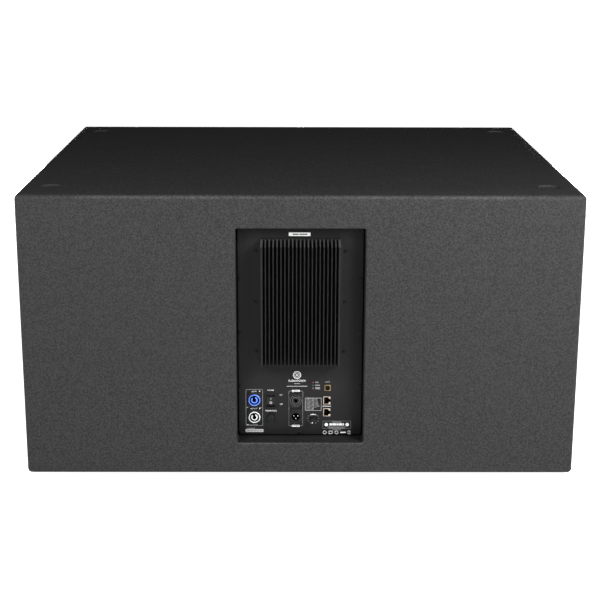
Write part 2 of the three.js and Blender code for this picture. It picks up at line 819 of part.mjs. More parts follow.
const ROCKER_SIZE = {
  bezelWidth: 21.5,
  bezelHeight: 30,
  width: 15.6,
  height: 22.4,
  pivotDepth: 3,
  tilt: 11,
};

function rockerHousing() {
  const { bezelWidth, bezelHeight, width, height } = ROCKER_SIZE;
  const bezel = alongY(roundedRectangle(bezelWidth, bezelHeight, 1.5), plateFront - 2, plateFront);
  const body = block([-9.5, plateFront - 1, -13.5], [9.5, plateBack + 18, 13.5]);
  const [x, z] = [width / 2 + 0.4, height / 2 + 1.4]; // its ends swing past the length of its face
  const well = block([-x, plateFront - 3, -z], [x, plateBack + 12, z]);
  return cut(join(bezel, body), well);
}

// The rocker's two faces meet in a shallow V; y = 0 on its pivot. It rests with its upper end pressed in.
function powerRocker() {
  const { width, height, pivotDepth, tilt } = ROCKER_SIZE;
  const half = height / 2;
  const section = outline([
    [-pivotDepth - 3.6, -half],
    [-pivotDepth - 1.4, 0],
    [-pivotDepth - 3.6, half],
    [-1, half - 1.5],
    [4, 3],
    [4, -3],
    [-1, -half + 1.5],
  ]);
  return alongX(section, width / 2 - 0.1)
    .rotate([-tilt, 0, 0])
    .translate([0, plateFront + pivotDepth, 0]);
}

function fuseHolder() {
  const nut = barY(7.8, plateFront - 2, plateFront, 24);
  const body = barY(6.2, plateFront - 1, plateBack + 34, 20);
  return cut(join(nut, body), barY(5.2, plateFront - 3, plateBack + 30, 20));
}

// The bayonet cap that carries the fuse, with a grip bar across its face.
function fuseCap() {
  const cap = barY(6.4, plateFront - 9, plateFront - 2.3, 20);
  const stem = barY(4.8, plateFront - 3, plateBack + 24, 16);
  const gripHalf = 1.6;
  const besideGrip = block([gripHalf, plateFront - 10, -8], [8, plateFront - 6, 8]);
  return cut(join(cap, stem), besideGrip, besideGrip.rotate([0, 180, 0]));
}

function levelPot() {
  const body = block([-8.5, plateBack + 2, -8.5], [8.5, plateBack + 12, 8.5]);
  const bush = barY(3.5, plateFront - 1.5, plateBack + 3, 16);
  return cut(join(body, bush), barY(3.05, plateFront - 3, plateBack + 8, 16));
}

// Fluted knob with its own shaft; its pointer is at seven o'clock, the lowest level.
function levelKnob() {
  const back = plateFront - 2;
  const front = back - 13.5;
  const body = join(barY(6.6, back - 3, back, 24), barY(5.6, front, back - 1, 24));
  const flutes = Array.from({ length: 10 }, (_, i) => {
    const turn = (Math.PI / 5) * i;
    return barY(0.8, front - 1, back - 3, 6).translate([6 * Math.cos(turn), 0, 6 * Math.sin(turn)]);
  });
  const shaft = barY(2.9, back - 1, plateBack + 6, 14);
  const pointer = block([-0.6, front - 1, 1.5], [0.6, front + 0.8, 7]).rotate([0, -150, 0]);
  return join(cut(body, ...flutes, pointer), shaft);
}

// ---------------------------------------------------------------- wiring

// The lead from the amplifier's cover to a woofer's terminals, clipped along the rear and side panels.
function speakerCable(sx) {
  const radius = 3.5;
  const z = CABINET.height / 2;
  const coverEnd = AMP_COVER.width / 2;
  const rearY = halfDepth - 110;
  const terminal = z - WOOFER.terminalRadius;
  const route = [
    [coverEnd + GAP, rearY, z - 60],
    [coverEnd + 60, rearY, z - 62],
    [300, rearY + 40, z - 120],
    [420, rearY + 60, z - 170],
    [490, rearY, z - 190],
    [500, rearY - 120, z - 200],
    [500, 60, z - 205],
    [470, -80, z - 200],
    [400, -190, z - 190],
    [WOOFER_X + 40, -248, z - 178],
    [WOOFER_X, -254, terminal - 22],
    [WOOFER_X, -254, terminal - 1],
  ].map(([x, y, height]) => new THREE.Vector3(sx * x, y, height));
  const curve = new THREE.CatmullRomCurve3(route, false, "centripetal");
  const section = new THREE.Shape().absarc(0, 0, radius, 0, 2 * Math.PI);
  const geometry = new THREE.ExtrudeGeometry(section, { extrudePath: curve, steps: 26, curveSegments: 4 });
  return solid(geometry);
}

// ---------------------------------------------------------------- assembly

place(cabinet, "top_panel", topPanel(), cabinetPaint);
place(
  cabinet,
  "bottom_panel",
  panel([-halfWidth, -halfDepth, 0], [halfWidth, halfDepth, CABINET.wall]),
  cabinetPaint,
);
for (const [side, sx] of SIDES) place(cabinet, `${side}_side_panel`, sidePanel(sx), cabinetPaint);
place(cabinet, "rear_panel", rearPanel(), cabinetPaint);
place(cabinet, "front_baffle", frontBaffle(), cabinetPaint);
for (const [side, sx] of SIDES) {
  const xs = [(sx * PORT.width) / 2, sx * (PORT.width / 2 + PORT.wall)].sort((a, b) => a - b);
  const front = -halfDepth + BAFFLE.inset + BAFFLE.thickness;
  place(
    cabinet,
    `port_wall_${side}`,
    block([xs[0], front, CABINET.wall], [xs[1], front + PORT.depth, insideTop]),
    bareBirch,
  );
}

for (const [side, sx] of SIDES) {
  for (const [end, sy] of ENDS) {
    const handle = place(cabinet, `handle_${end}_${side}`, sideHandle(), blackSteel);
    handle.rotation.z = (sx * Math.PI) / 2;
    handle.position.set(sx * halfWidth, sy * HANDLE.fromMiddle, HANDLE.height);

    const foot = place(subwoofer, `foot_${end}_${side}`, rubberFoot(), blackRubber);
    foot.position.set(...footSpot(sx, sy));
  }
}

place(cabinet, "front_grille", frontGrille(), blackSteel);
place(cabinet, "grille_foam", grilleFoam(), blackFoam);
for (const [where, step] of [["left", -1], ["middle", 0], ["right", 1]]) {
  const screw = place(cabinet, `grille_screw_${where}`, grilleScrew(), blackSteel);
  screw.position.set(step * GRILLE_SCREW.spacing, -halfDepth + GRILLE_SCREW.fromFront, 0);
}

for (const [side, sx] of SIDES) {
  const woofer = new THREE.Group();
  woofer.position.set(sx * WOOFER_X, -halfDepth + BAFFLE.inset, CABINET.height / 2);
  woofer.rotation.z = Math.PI;
  cabinet.add(woofer);
  place(woofer, `woofer_basket_${side}`, wooferBasket(), blackAluminium);
  place(woofer, `woofer_magnet_${side}`, wooferMagnet(), ferrite);
  place(woofer, `woofer_cone_${side}`, wooferCone(), paper);
  place(woofer, `dust_cap_${side}`, wooferDustCap(), paper);
  place(woofer, `surround_${side}`, wooferSurround(), blackRubber);
  place(woofer, `spider_${side}`, wooferSpider(), cloth);
  place(woofer, `voice_coil_${side}`, wooferCoil(), copper);
  place(cabinet, `speaker_cable_${side}`, speakerCable(sx), cableSheath);
}

place(amplifier, "amp_recess_frame", recessFrame(), cabinetPaint);
place(amplifier, "amp_plate", ampPlate(), blackAluminium);
place(amplifier, "amp_gasket", ampGasket(), blackFoam);
place(amplifier, "heat_sink", heatSink(), blackAluminium);
place(amplifier, "amp_cover", ampCover(), bareSteel);
place(amplifier, "power_board", powerBoard(), circuitBoard);
place(amplifier, "signal_board", signalBoard(), circuitBoard);
place(amplifier, "power_inlet", at(POWER_INLET, mainsConnector()), bluePlastic);
place(amplifier, "power_link_outlet", at(POWER_LINK, mainsConnector()), greyPlastic);
place(amplifier, "combo_input", at(COMBO_INPUT, comboInput()), blackPlastic);
place(amplifier, "combo_latch", at(COMBO_INPUT, comboLatch()), blackPlastic);
place(amplifier, "link_output", at(LINK_OUTPUT, linkOutput()), blackPlastic);
place(amplifier, "ethernet_jack_upper", at(ETHERNET_UPPER, ethernetJack()), nickel);
place(amplifier, "ethernet_jack_lower", at(ETHERNET_LOWER, ethernetJack()), nickel);
place(amplifier, "usb_port", at(USB, usbPort()), nickel);
place(amplifier, "indicator_light_pipe", lightPipe(), clearPlastic);
place(amplifier, "rocker_housing", at(ROCKER, rockerHousing()), blackPlastic);
place(amplifier, "power_rocker", at(ROCKER, powerRocker()), blackPlastic);
place(amplifier, "fuse_holder", at(FUSE, fuseHolder()), blackPlastic);
place(amplifier, "fuse_cap", at(FUSE, fuseCap()), blackPlastic);
place(amplifier, "level_pot", at(LEVEL, levelPot()), bareSteel);
place(amplifier, "level_knob", at(LEVEL, levelKnob()), blackPlastic);

export default subwoofer;
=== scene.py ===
import json
from math import cos, pi, radians, sin, sqrt

import bmesh
import bpy
from mathutils import Matrix, Vector


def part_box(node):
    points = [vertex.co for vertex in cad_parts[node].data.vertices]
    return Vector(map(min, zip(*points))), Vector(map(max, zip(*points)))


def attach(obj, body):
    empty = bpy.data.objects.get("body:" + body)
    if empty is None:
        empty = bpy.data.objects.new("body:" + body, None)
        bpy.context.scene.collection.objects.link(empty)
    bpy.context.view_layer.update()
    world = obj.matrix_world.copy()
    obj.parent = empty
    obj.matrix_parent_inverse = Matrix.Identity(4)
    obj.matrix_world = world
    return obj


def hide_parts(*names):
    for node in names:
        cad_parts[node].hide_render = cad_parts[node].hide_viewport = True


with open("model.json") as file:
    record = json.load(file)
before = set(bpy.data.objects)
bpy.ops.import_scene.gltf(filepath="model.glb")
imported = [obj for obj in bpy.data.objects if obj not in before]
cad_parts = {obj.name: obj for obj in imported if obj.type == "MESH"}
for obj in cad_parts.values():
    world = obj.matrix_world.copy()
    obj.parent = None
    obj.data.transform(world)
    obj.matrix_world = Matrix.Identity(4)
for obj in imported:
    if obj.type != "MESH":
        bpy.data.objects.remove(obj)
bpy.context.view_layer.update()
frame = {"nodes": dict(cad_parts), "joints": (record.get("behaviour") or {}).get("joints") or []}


def size_of(node):
    low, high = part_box(node)
    return high - low


def middle_of(node):
    low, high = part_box(node)
    return (low + high) / 2


# ---------------- driving dimensions

OUTER_LOW, OUTER_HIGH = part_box("bottom_panel")[0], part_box("top_panel")[1]
EDGE_RADIUS = 0.0085  # of the cabinet's outer edges
WALL = size_of("top_panel").z
PLATE_SIZE = size_of("amp_plate")
PLATE_MIDDLE = middle_of("amp_plate") + Vector((0, PLATE_SIZE.y / 2, 0))  # of its outer face
PRINT = 0.00012  # how far printed legends stand off the plate
SHARP = 0.0001  # edge rounding of openings and of the smallest parts
RECESS_WALL = 0.018
RECESS_EDGE = 0.0035  # rounding of the amplifier opening's outer edge
RECESS = size_of("amp_recess_frame")
OPENING = (RECESS.x - 2 * RECESS_WALL, RECESS.z - 2 * RECESS_WALL, 0.004)  # width, height, corner radius
FLANGE = (0.176, 0.131, 0.016)  # length, height and corner radius of a handle's flange
MOUTH = (0.15, 0.105, 0.0115)  # and of its mouth
HOLE_PITCH = 0.0105  # between the middles of neighbouring holes in the grille
HOLE_WIDTH = 0.0082  # across the flats of a hexagonal hole
FINS = 21
FIN = 0.0025  # thickness of a heat-sink fin
END_FIN = 0.005
SINK_BASE = 0.006
CORNER_STEPS = 6
ROUND_STEPS = 4 * (CORNER_STEPS + 1)

SIDES = {"left": -1, "right": 1}
CORNERS = [(end, side) for side in SIDES for end in ("front", "rear")]
GRILLE_SCREWS = [f"grille_screw_{where}" for where in ("left", "middle", "right")]
MAINS = ("power_inlet", "power_link_outlet")
ETHERNET = ("ethernet_jack_upper", "ethernet_jack_lower")
UP, REAR, FRONT = Vector((0, 0, 1)), Vector((0, 1, 0)), Vector((0, -1, 0))

# ---------------- outlines, counter-clockwise


def polar(radius, angle):
    return radius * cos(angle), radius * sin(angle)


def rounded(width, height, radius, steps=CORNER_STEPS):
    """A rectangle with round corners about the origin."""
    x, y = width / 2 - radius, height / 2 - radius
    points = []
    for corner, (cx, cy) in enumerate([(x, -y), (x, y), (-x, y), (-x, -y)]):
        for i in range(steps + 1):
            right, up = polar(radius, pi / 2 * (corner - 1 + i / steps))
            points.append((cx + right, cy + up))
    return points


def inset(width, height, radius, by, least=1e-5):
    """The same, drawn in by a distance all round, with a least corner radius."""
    return rounded(width - 2 * by, height - 2 * by, max(radius - by, least))


def circle(radius, sides=ROUND_STEPS):
    return [polar(radius, 2 * pi * i / sides) for i in range(sides)]


def scaled(outline, by):
    return [(x * by, y * by) for x, y in outline]


def polygon(corners, sides):
    """The given corners, with points added along the edges until there are `sides` of them."""
    each = sides // len(corners)
    points = []
    for i, (x, y) in enumerate(corners):
        nx, ny = corners[(i + 1) % len(corners)]
        points += [(x + (nx - x) * k / each, y + (ny - y) * k / each) for k in range(each)]
    return points


def hexagon(across):
    return polygon(circle(across / sqrt(3), 6), 24)


def cross(reach, half):
    """A plus sign, as a screwdriver's recess."""
    arm = ((reach, -half), (reach, half), (half, half))
    turns = ((1, 0), (0, 1), (-1, 0), (0, -1))
    return polygon([(c * x - s * y, s * x + c * y) for c, s in turns for x, y in arm], 24)


# ---------------- loops: (outline, z) pairs, back to front


def round_edge(outline, low, high, edge, both=False, steps=3):
    """Loops for a slab from z = low to high; outline(inset) gives its shape, and its edges are rounded."""
    quarter = [pi / 2 * i / steps for i in range(steps + 1)]
    loops = [(outline(0), low)]
    if both:
        loops = [(outline(edge * (1 - sin(a))), low + edge * (1 - cos(a))) for a in quarter]
    return loops + [(outline(edge * (1 - cos(a))), high - edge * (1 - sin(a))) for a in quarter]


def pad(width, height, radius, low, high, edge=0.0004, both=False):
    return round_edge(lambda by: inset(width, height, radius, by), low, high, edge, both)


def disc(radius, low, high, edge=0.0004, sides=ROUND_STEPS):
    return round_edge(lambda by: circle(radius - by, sides), low, high, edge)


def flat(outline, height=PRINT):
    return [(outline, 0), (outline, height)]


def turned(profile, sides=48):
    """Loops for a [radius, z] profile turned about z."""
    return [(circle(r, sides), z) for r, z in profile]


def arc(radius, z, size, start, end, steps=4):
    """[radius, z] points of an arc of the given size round (radius, z), its angles in degrees."""
    angles = [radians(start + (end - start) * i / steps) for i in range(steps + 1)]
    return [(radius + size * cos(a), z + size * sin(a)) for a in angles]


def loft(bm, loops, material, move, closed=False):
    """Joins successive loops with faces; the ends are capped, or joined to each other if closed."""
    rows = [[bm.verts.new(move @ Vector((x, y, z))) for x, y in outline] for outline, z in loops]
    faces = []
    for a, b in list(zip(rows, rows[1:])) + ([(rows[-1], rows[0])] if closed else []):
        for i in range(len(a)):
            j = (i + 1) % len(a)
            faces.append(bm.faces.new((a[i], a[j], b[j], b[i])))
    if not closed:
        faces += [bm.faces.new(rows[0][::-1]), bm.faces.new(rows[-1])]
    for face in faces:
        face.material_index = material
    bmesh.ops.remove_doubles(bm, verts=[v for row in rows for v in row], dist=1e-6)
    bmesh.ops.recalc_face_normals(bm, faces=[f for f in faces if f.is_valid])


# ---------------- frames, objects and pieces


def facing(origin, out):
    """The frame at origin that faces out: its columns are right, up and out."""
    up = REAR if abs(out.z) > 0.5 else UP
    return Matrix.Translation(origin) @ Matrix((up.cross(out), up, out)).transposed().to_4x4()


def turn(axis, degrees):
    return Matrix.Rotation(radians(degrees), 4, axis)


def shift(at):
    """A move by (x, y) or (x, y, z)."""
    return Matrix.Translation((*at, 0)[:3])


def into_scene(name, data):
    made = bpy.data.objects.new(name, data)
    bpy.context.scene.collection.objects.link(made)
    return made


def evaluated_mesh(made):
    return bpy.data.meshes.new_from_object(made.evaluated_get(bpy.context.evaluated_depsgraph_get()))


def cut_away(bm, tools, material=0):
    """Cuts closed shapes out of bm, each given as its loops and its frame."""
    cutters = bmesh.new()
    for loops, place in tools:
        loft(cutters, loops, material, place)
    made = []
    for name, shape in (("body", bm), ("cutter", cutters)):
        mesh = bpy.data.meshes.new(name)
        shape.to_mesh(mesh)
        made.append(into_scene(name, mesh))
    cutters.free()
    modifier = made[0].modifiers.new("cut", "BOOLEAN")
    modifier.operation, modifier.solver, modifier.object = "DIFFERENCE", "EXACT", made[1]
    modifier.use_self = True
    result = evaluated_mesh(made[0])
    bm.clear()
    bm.from_mesh(result)
    meshes = [result] + [each.data for each in made]
    for each in made:
        bpy.data.objects.remove(each)
    for mesh in meshes:
        bpy.data.meshes.remove(mesh)


def trim(bm, axis, value, sign):
    """Removes what lies beyond a plane across one axis, on the side that sign tells."""
    normal, point = Vector((0, 0, 0)), Vector((0, 0, 0))
    normal[axis], point[axis] = sign, value
    geometry = bm.verts[:] + bm.edges[:] + bm.faces[:]
    bmesh.ops.bisect_plane(bm, geom=geometry, plane_co=point, plane_no=normal, clear_outer=True)


class Piece:
    """One visible piece under construction, modelled in the frame `place`."""

    def __init__(self, name, place=Matrix(), bm=None):
        self.name, self.place = name, place
        self.bm = bm or bmesh.new()
        self.materials = []

    def index(self, material):
        if material not in self.materials:
            self.materials.append(material)
        return self.materials.index(material)

    def add(self, loops, material, at=(0, 0), tilt=Matrix(), closed=False):
        loft(self.bm, loops, self.index(material), shift(at) @ tilt, closed)

    def cut(self, *tools, material=None):
        """Each tool is (loops, at) or (loops, at, tilt)."""
        placed = [(loops, shift(at) @ (tilt[0] if tilt else Matrix())) for loops, at, *tilt in tools]
        cut_away(self.bm, placed, self.index(material) if material else 0)

    def take(self, mesh, materials):
        """Adds a mesh in the same frame, its faces numbered by the given materials, and removes the mesh."""
        indices = [self.index(material) for material in materials]
        for face in mesh.polygons:
            face.material_index = indices[face.material_index]
        self.bm.from_mesh(mesh)
        bpy.data.meshes.remove(mesh)

    def merge(self, other):
        mesh = bpy.data.meshes.new("merge")
        other.bm.to_mesh(mesh)
        other.bm.free()
        self.take(mesh, other.materials)

    def done(self, slot, *replaced, body="cabinet", smooth=32):
        self.bm.transform(self.place)
        mesh = bpy.data.meshes.new(self.name)
        self.bm.to_mesh(mesh)
        self.bm.free()
        for material in self.materials:
            mesh.materials.append(material)
        mesh.shade_smooth()
        mesh.set_sharp_from_angle(angle=radians(smooth))
        made = into_scene(self.name, mesh)
        if replaced:
            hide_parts(*replaced)
        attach(made, body)
        return made


# ---------------- materials


def shade(color, factor):
    return tuple(min(1.0, c * factor) for c in color)


class Shader:
    """A procedural material under construction, on object coordinates in metres."""

    def __init__(self, name, color, roughness, metallic=0.0, specular=0.5, **fixed):
        self.material = bpy.data.materials.new(name)
        self.material.use_nodes = True
        self.material.diffuse_color = (*color, 1)
        self.tree = self.material.node_tree
        self.surface = self.tree.nodes["Principled BSDF"]
        self.color = color
        values = {"Base Color": (*color, 1), "Roughness": roughness, "Metallic": metallic}
        self.connect(self.surface, {**values, "Specular IOR Level": specular, **fixed})
        self.place = self.node("TexCoord").outputs["Object"]

    def connect(self, node, inputs):
        """Links each input to a node's output, or sets it to a value."""
        for key, value in inputs.items():
            if isinstance(value, bpy.types.NodeSocket):
                self.tree.links.new(value, node.inputs[key])
            else:
                node.inputs[key].default_value = value

    def node(self, kind, inputs=(), **settings):
        made = self.tree.nodes.new("ShaderNode" + kind)
        for key, value in settings.items():
            setattr(made, key, value)
        self.connect(made, dict(inputs))
        return made

    def noise(self, scale, detail=3.0, roughness=0.55, stretch=None, distortion=0.0):
        place = self.place
        if stretch:
            place = self.node("Mapping", {"Vector": place, "Scale": stretch}).outputs["Vector"]
        inputs = {"Vector": place, "Scale": scale, "Detail": detail}
        inputs.update({"Roughness": roughness, "Distortion": distortion})
        return self.node("TexNoise", inputs).outputs["Fac"]

    def cells(self, scale, output="Distance", feature="F1"):
        inputs = {"Vector": self.place, "Scale": scale}
        return self.node("TexVoronoi", inputs, feature=feature).outputs[output]

    def math(self, operation, *values):
        return self.node("Math", dict(enumerate(values)), operation=operation).outputs[0]

    def fit(self, value, low, high, to_low, to_high):
        """The value, its range from low to high stretched to another."""
        inputs = {"Value": value, "From Min": low, "From Max": high, "To Min": to_low, "To Max": to_high}
        return self.node("MapRange", inputs).outputs["Result"]

    def mix(self, share, first, second):
        ends = [end if isinstance(end, bpy.types.NodeSocket) else (*end, 1) for end in (first, second)]
        inputs = {"Factor": share, "A": ends[0], "B": ends[1]}
        return self.node("Mix", inputs, data_type="RGBA").outputs["Result"]

    def tint(self, value, low, high, dark, light):
        """The colour, times dark where the value is low and times light where it is high."""
        share = self.fit(value, low, high, 0.0, 1.0)
        return self.mix(share, shade(self.color, dark), shade(self.color, light))

    def upward(self):
        """How far the surface faces up, from 0 to 1."""
        axes = self.node("SeparateXYZ", {0: self.place.node.outputs["Normal"]})
        return self.math("MAXIMUM", axes.outputs[2], 0.0)

    def dress(self, color, roughness, relief=None, depth=0.0):
        """Gives the surface its colour, roughness and any relief, and returns the material."""
        self.connect(self.surface, {"Base Color": color, "Roughness": roughness})
        if relief is not None:
            bump = self.node("Bump", {"Height": relief, "Distance": depth, "Strength": 1.0})
            self.connect(self.surface, {"Normal": bump.outputs["Normal"]})
        return self.material


def grained(name, color, roughness, grain=900.0, depth=0.00005, spread=0.18, **surface):
    """A moulded, cast or coated surface: fine grain, slight mottling, and uneven gloss."""
    made = Shader(name, color, roughness, **surface)
    fine, broad = made.noise(grain, 2.0), made.noise(18.0, 2.0)
    tone = made.math("ADD", made.math("MULTIPLY", fine, 0.5), made.math("MULTIPLY", broad, 0.5))
    gloss = made.fit(broad, 0.3, 0.7, roughness * 0.88, min(1.0, roughness * 1.12))
    return made.dress(made.tint(tone, 0.38, 0.62, 1 - spread, 1 + spread), gloss, fine, depth)


def brushed(name, color, roughness, along):
    """Metal with fine scratches along one axis; `along` is the noise stretch on x, y and z."""
    made = Shader(name, color, roughness, metallic=1.0)
    lines = made.noise(900.0, 2.0, stretch=along)
    gloss = made.fit(lines, 0.3, 0.7, roughness * 0.8, roughness * 1.25)
    return made.dress(made.tint(lines, 0.35, 0.65, 0.86, 1.1), gloss, lines, 0.00002)


def cabinet_paint(name, color, top):
    """Hard sprayed coating: rounded specks about 2 mm across, with a painted highlight, in patches, where an
    edge rounds upwards.

    Surfaces that face up have streaks whose shade is `top` times the colour; a low `top`, as in the recess,
    paints shade on those surfaces.
    """
    made = Shader(name, color, 0.7, specular=0.06)
    specks = made.cells(480.0, feature="SMOOTH_F1")
    grain, cloud = made.noise(335.0, 2.0, 0.5), made.noise(3.0, 3.0)
    facing_up = made.upward()
    streaks = made.fit(made.noise(36.0, 3.0, stretch=(0.25, 1.0, 1.0)), 0.35, 0.65, 0.0, 0.5)
    speckle = made.tint(grain, 0.36, 0.64, 0.67, 1.33)
    toned = made.mix(made.math("MULTIPLY", facing_up, streaks), speckle, shade(color, top))
    rounding = made.math("MULTIPLY", facing_up, made.math("SUBTRACT", 1.0, facing_up))
    flakes, clouds = made.fit(grain, 0.4, 0.62, 0.35, 1.0), made.fit(cloud, 0.4, 0.6, 0.25, 1.0)
    patches = made.math("MULTIPLY", clouds, flakes)
    # Painted highlight: edges that round upwards are mixed towards three times the colour, in patches.
    painted_highlight = made.math("MULTIPLY", made.fit(rounding, 0.1, 0.25, 0.0, 0.6), patches)
    relief = made.math("ADD", made.math("MULTIPLY", specks, -0.6), grain)
    gloss = made.fit(grain, 0.3, 0.7, 0.62, 0.82)
    return made.dress(made.mix(painted_highlight, toned, shade(color, 3.0)), gloss, relief, 0.0005)


def foam_material():
    made = Shader("black_foam", (0.012, 0.012, 0.013), 0.95, specular=0.15)
    pores = made.cells(620.0)
    gloss = made.fit(pores, 0.0, 1.0, 0.85, 1.0)
    return made.dress(made.tint(pores, 0.1, 0.6, 0.35, 1.9), gloss, pores, 0.0009)


def wood_material():
    made = Shader("bare_birch", (0.52, 0.36, 0.2), 0.6)
    rings = made.noise(26.0, 4.0, 0.6, stretch=(1.0, 0.08, 1.0), distortion=0.8)
    fibres = made.noise(500.0, 2.0, stretch=(1.0, 0.04, 1.0))
    lines = made.fit(fibres, 0.4, 0.7, 0.0, 0.4)
    toned = made.mix(lines, made.tint(rings, 0.35, 0.65, 0.75, 1.15), shade(made.color, 0.6))
    return made.dress(toned, made.fit(fibres, 0.3, 0.7, 0.5, 0.75), fibres, 0.0001)


def woven_material():
    made = Shader("spider_cloth", (0.42, 0.3, 0.14), 0.85)
    inputs = {"Vector": made.place, "Scale": 260.0}
    warp, weft = (made.node("TexWave", inputs, bands_direction=axis).outputs["Fac"] for axis in "XZ")
    weave = made.math("MULTIPLY", warp, weft)
    color = made.mix(weave, shade(made.color, 0.6), shade(made.color, 1.2))
    return made.dress(color, made.fit(weave, 0.0, 1.0, 0.95, 0.75), weave, 0.0003)


def board_material():
    made = Shader("circuit_board", (0.02, 0.11, 0.05), 0.45)
    red = made.node("SeparateColor", {0: made.cells(240.0, "Color")}).outputs[0]
    tracks = made.fit(red, 0.75, 0.8, 0.0, 1.0)
    color = made.mix(tracks, made.color, shade(made.color, 2.2))
    return made.dress(color, made.fit(tracks, 0.0, 1.0, 0.5, 0.3), tracks, 0.0001)


def lens_material(name, color):
    """A tinted indicator lens, lit a little from behind."""
    made = Shader(name, color, 0.25, **{"Emission Color": (*color, 1), "Emission Strength": 0.05})
    cloud = made.noise(1500.0, 2.0)
    tinted = made.mix(cloud, shade(color, 0.8), shade(color, 1.1))
    return made.dress(tinted, made.fit(cloud, 0.0, 1.0, 0.2, 0.35))


PAINT = cabinet_paint("cabinet_paint", (0.0195, 0.0195, 0.02), 0.85)
# Painted shade: a darker copy of the cabinet paint for the amplifier recess, darker still where it faces up.
RECESS_SHADE_PAINT = cabinet_paint("recess_painted_shade", (0.0125, 0.0125, 0.0128), 0.1)
FOAM, BIRCH, CLOTH, BOARD = foam_material(), wood_material(), woven_material(), board_material()
POWDER = grained("powder_coat", (0.013, 0.013, 0.0135), 0.5, 1400, 8e-5, specular=0.3)
ANODISED = grained("black_anodised", (0.0082, 0.0082, 0.0084), 0.5, 2200, 2e-5, specular=0.08)
SINK_BLACK = grained("heat_sink_black", (0.0043, 0.0043, 0.0044), 0.4, 1800, 3e-5, specular=0.15)
# Painted shade: a dull dark sheet for the floor between the heat sink's fins.
SINK_FLOOR_SHADE = grained("heat_sink_floor_painted_shade", (0.006, 0.006, 0.006), 0.8, 1800, 3e-5, specular=0.05)
# Painted highlight: a lighter copy of the heat sink's black for the fins' sloping ends.
SINK_ENDS_HIGHLIGHT = grained("heat_sink_ends_painted_highlight", (0.036, 0.036, 0.0365), 0.5, 1800, 3e-5, specular=0.2)
RUBBER = grained("black_rubber", (0.013, 0.013, 0.013), 0.85, 700, 1e-4, specular=0.3)
PLASTIC = grained("black_plastic", (0.0068, 0.0068, 0.007), 0.5, 1600, 3e-5, specular=0.12)
GLOSS_PLASTIC = grained("gloss_plastic", (0.004, 0.004, 0.0042), 0.3, 1200, 1e-5, specular=0.25)
MID_PLASTIC = grained("mid_grey_plastic", (0.05, 0.05, 0.051), 0.45, 1600, 2e-5, specular=0.3)
# Painted shade: a near-black for the insides of sockets, openings and gaps, and for sheets at their bottoms.
SHADE_BLACK = grained("socket_painted_shade", (0.002, 0.002, 0.002), 0.8, specular=0.05)
BLUE = grained("blue_plastic", (0.065, 0.15, 0.58), 0.4, 1600, 2e-5, 0.08)
GREY = grained("grey_plastic", (0.46, 0.47, 0.48), 0.4, 1600, 2e-5, 0.06)
# Painted shade: a dull dark brown for contacts deep inside sockets, in place of bright metal.
SHADED_CONTACT = grained("contact_painted_shade", (0.06, 0.045, 0.02), 0.5, 1600, 2e-5, specular=0.3)
BLACK_SCREW = grained("black_screw", (0.003, 0.003, 0.003), 0.45, 1500, 2e-5, specular=0.15)
FERRITE = grained("ferrite", (0.035, 0.035, 0.038), 0.6, 500, 6e-5)
PAPER = grained("cone_paper", (0.025, 0.025, 0.025), 0.9, 450, 3e-4)
SHEATH = grained("cable_sheath", (0.012, 0.012, 0.012), 0.5, 900, 3e-5)
WHITE_INK = grained("white_ink", (0.5, 0.5, 0.5), 0.6, 2500, 1e-5, 0.06)
SILVER_INK = grained("silver_ink", (0.27, 0.27, 0.27), 0.6, 2500, 1e-5, 0.08)
GREY_INK = grained("grey_ink", (0.11, 0.11, 0.11), 0.6, 2500, 1e-5, 0.1)
DARK_INK = grained("dark_ink", (0.02, 0.02, 0.02), 0.6, 2500, 1e-5)
LABEL = grained("label_film", (0.7, 0.7, 0.69), 0.45, 1500, 1e-5, 0.05)
SHELL = brushed("connector_shell", (0.42, 0.345, 0.28), 0.45, (1.0, 1.0, 0.1))
BRASS_SHELL = brushed("data_port_brass", (0.34, 0.25, 0.12), 0.4, (1.0, 1.0, 0.1))
STEEL = brushed("zinc_steel", (0.62, 0.62, 0.63), 0.32, (0.1, 1.0, 1.0))
PIN = brushed("contact_pin", (0.6, 0.6, 0.6), 0.25, (1.0, 0.1, 1.0))
COPPER = brushed("coil_copper", (0.75, 0.36, 0.2), 0.35, (0.1, 1.0, 0.1))
RED_LENS = lens_material("red_lens", (0.13, 0.006, 0.012))
GREEN_LENS = lens_material("green_lens", (0.008, 0.09, 0.035))
AMBER_LENS = lens_material("amber_lens", (0.12, 0.085, 0.065))


# ---------------- cabinet panels


def cabinet_block():
    """The whole cabinet as one solid block, every edge rounded."""
    bm = bmesh.new()
    bmesh.ops.create_cube(bm, size=1.0)
    bmesh.ops.scale(bm, vec=OUTER_HIGH - OUTER_LOW, verts=bm.verts)
    bmesh.ops.translate(bm, vec=(OUTER_HIGH + OUTER_LOW) / 2, verts=bm.verts)
    bmesh.ops.bevel(bm, geom=bm.edges, offset=EDGE_RADIUS, segments=6, profile=0.5, affect="EDGES")
    return bm


def panel(name):
    """The part of the cabinet's block that a panel's node takes up."""
    piece = Piece(name.replace("_panel", "_board"), bm=cabinet_block())
    piece.index(PAINT)
    for axis in range(3):
        for limit, outer, sign in zip(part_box(name), (OUTER_LOW, OUTER_HIGH), (-1, 1)):
            if abs(limit[axis] - outer[axis]) > 1e-5:
                trim(piece.bm, axis, limit[axis], sign)
                rim = [edge for edge in piece.bm.edges if edge.is_boundary]
                bmesh.ops.edgeloop_fill(piece.bm, edges=rim)
    return piece


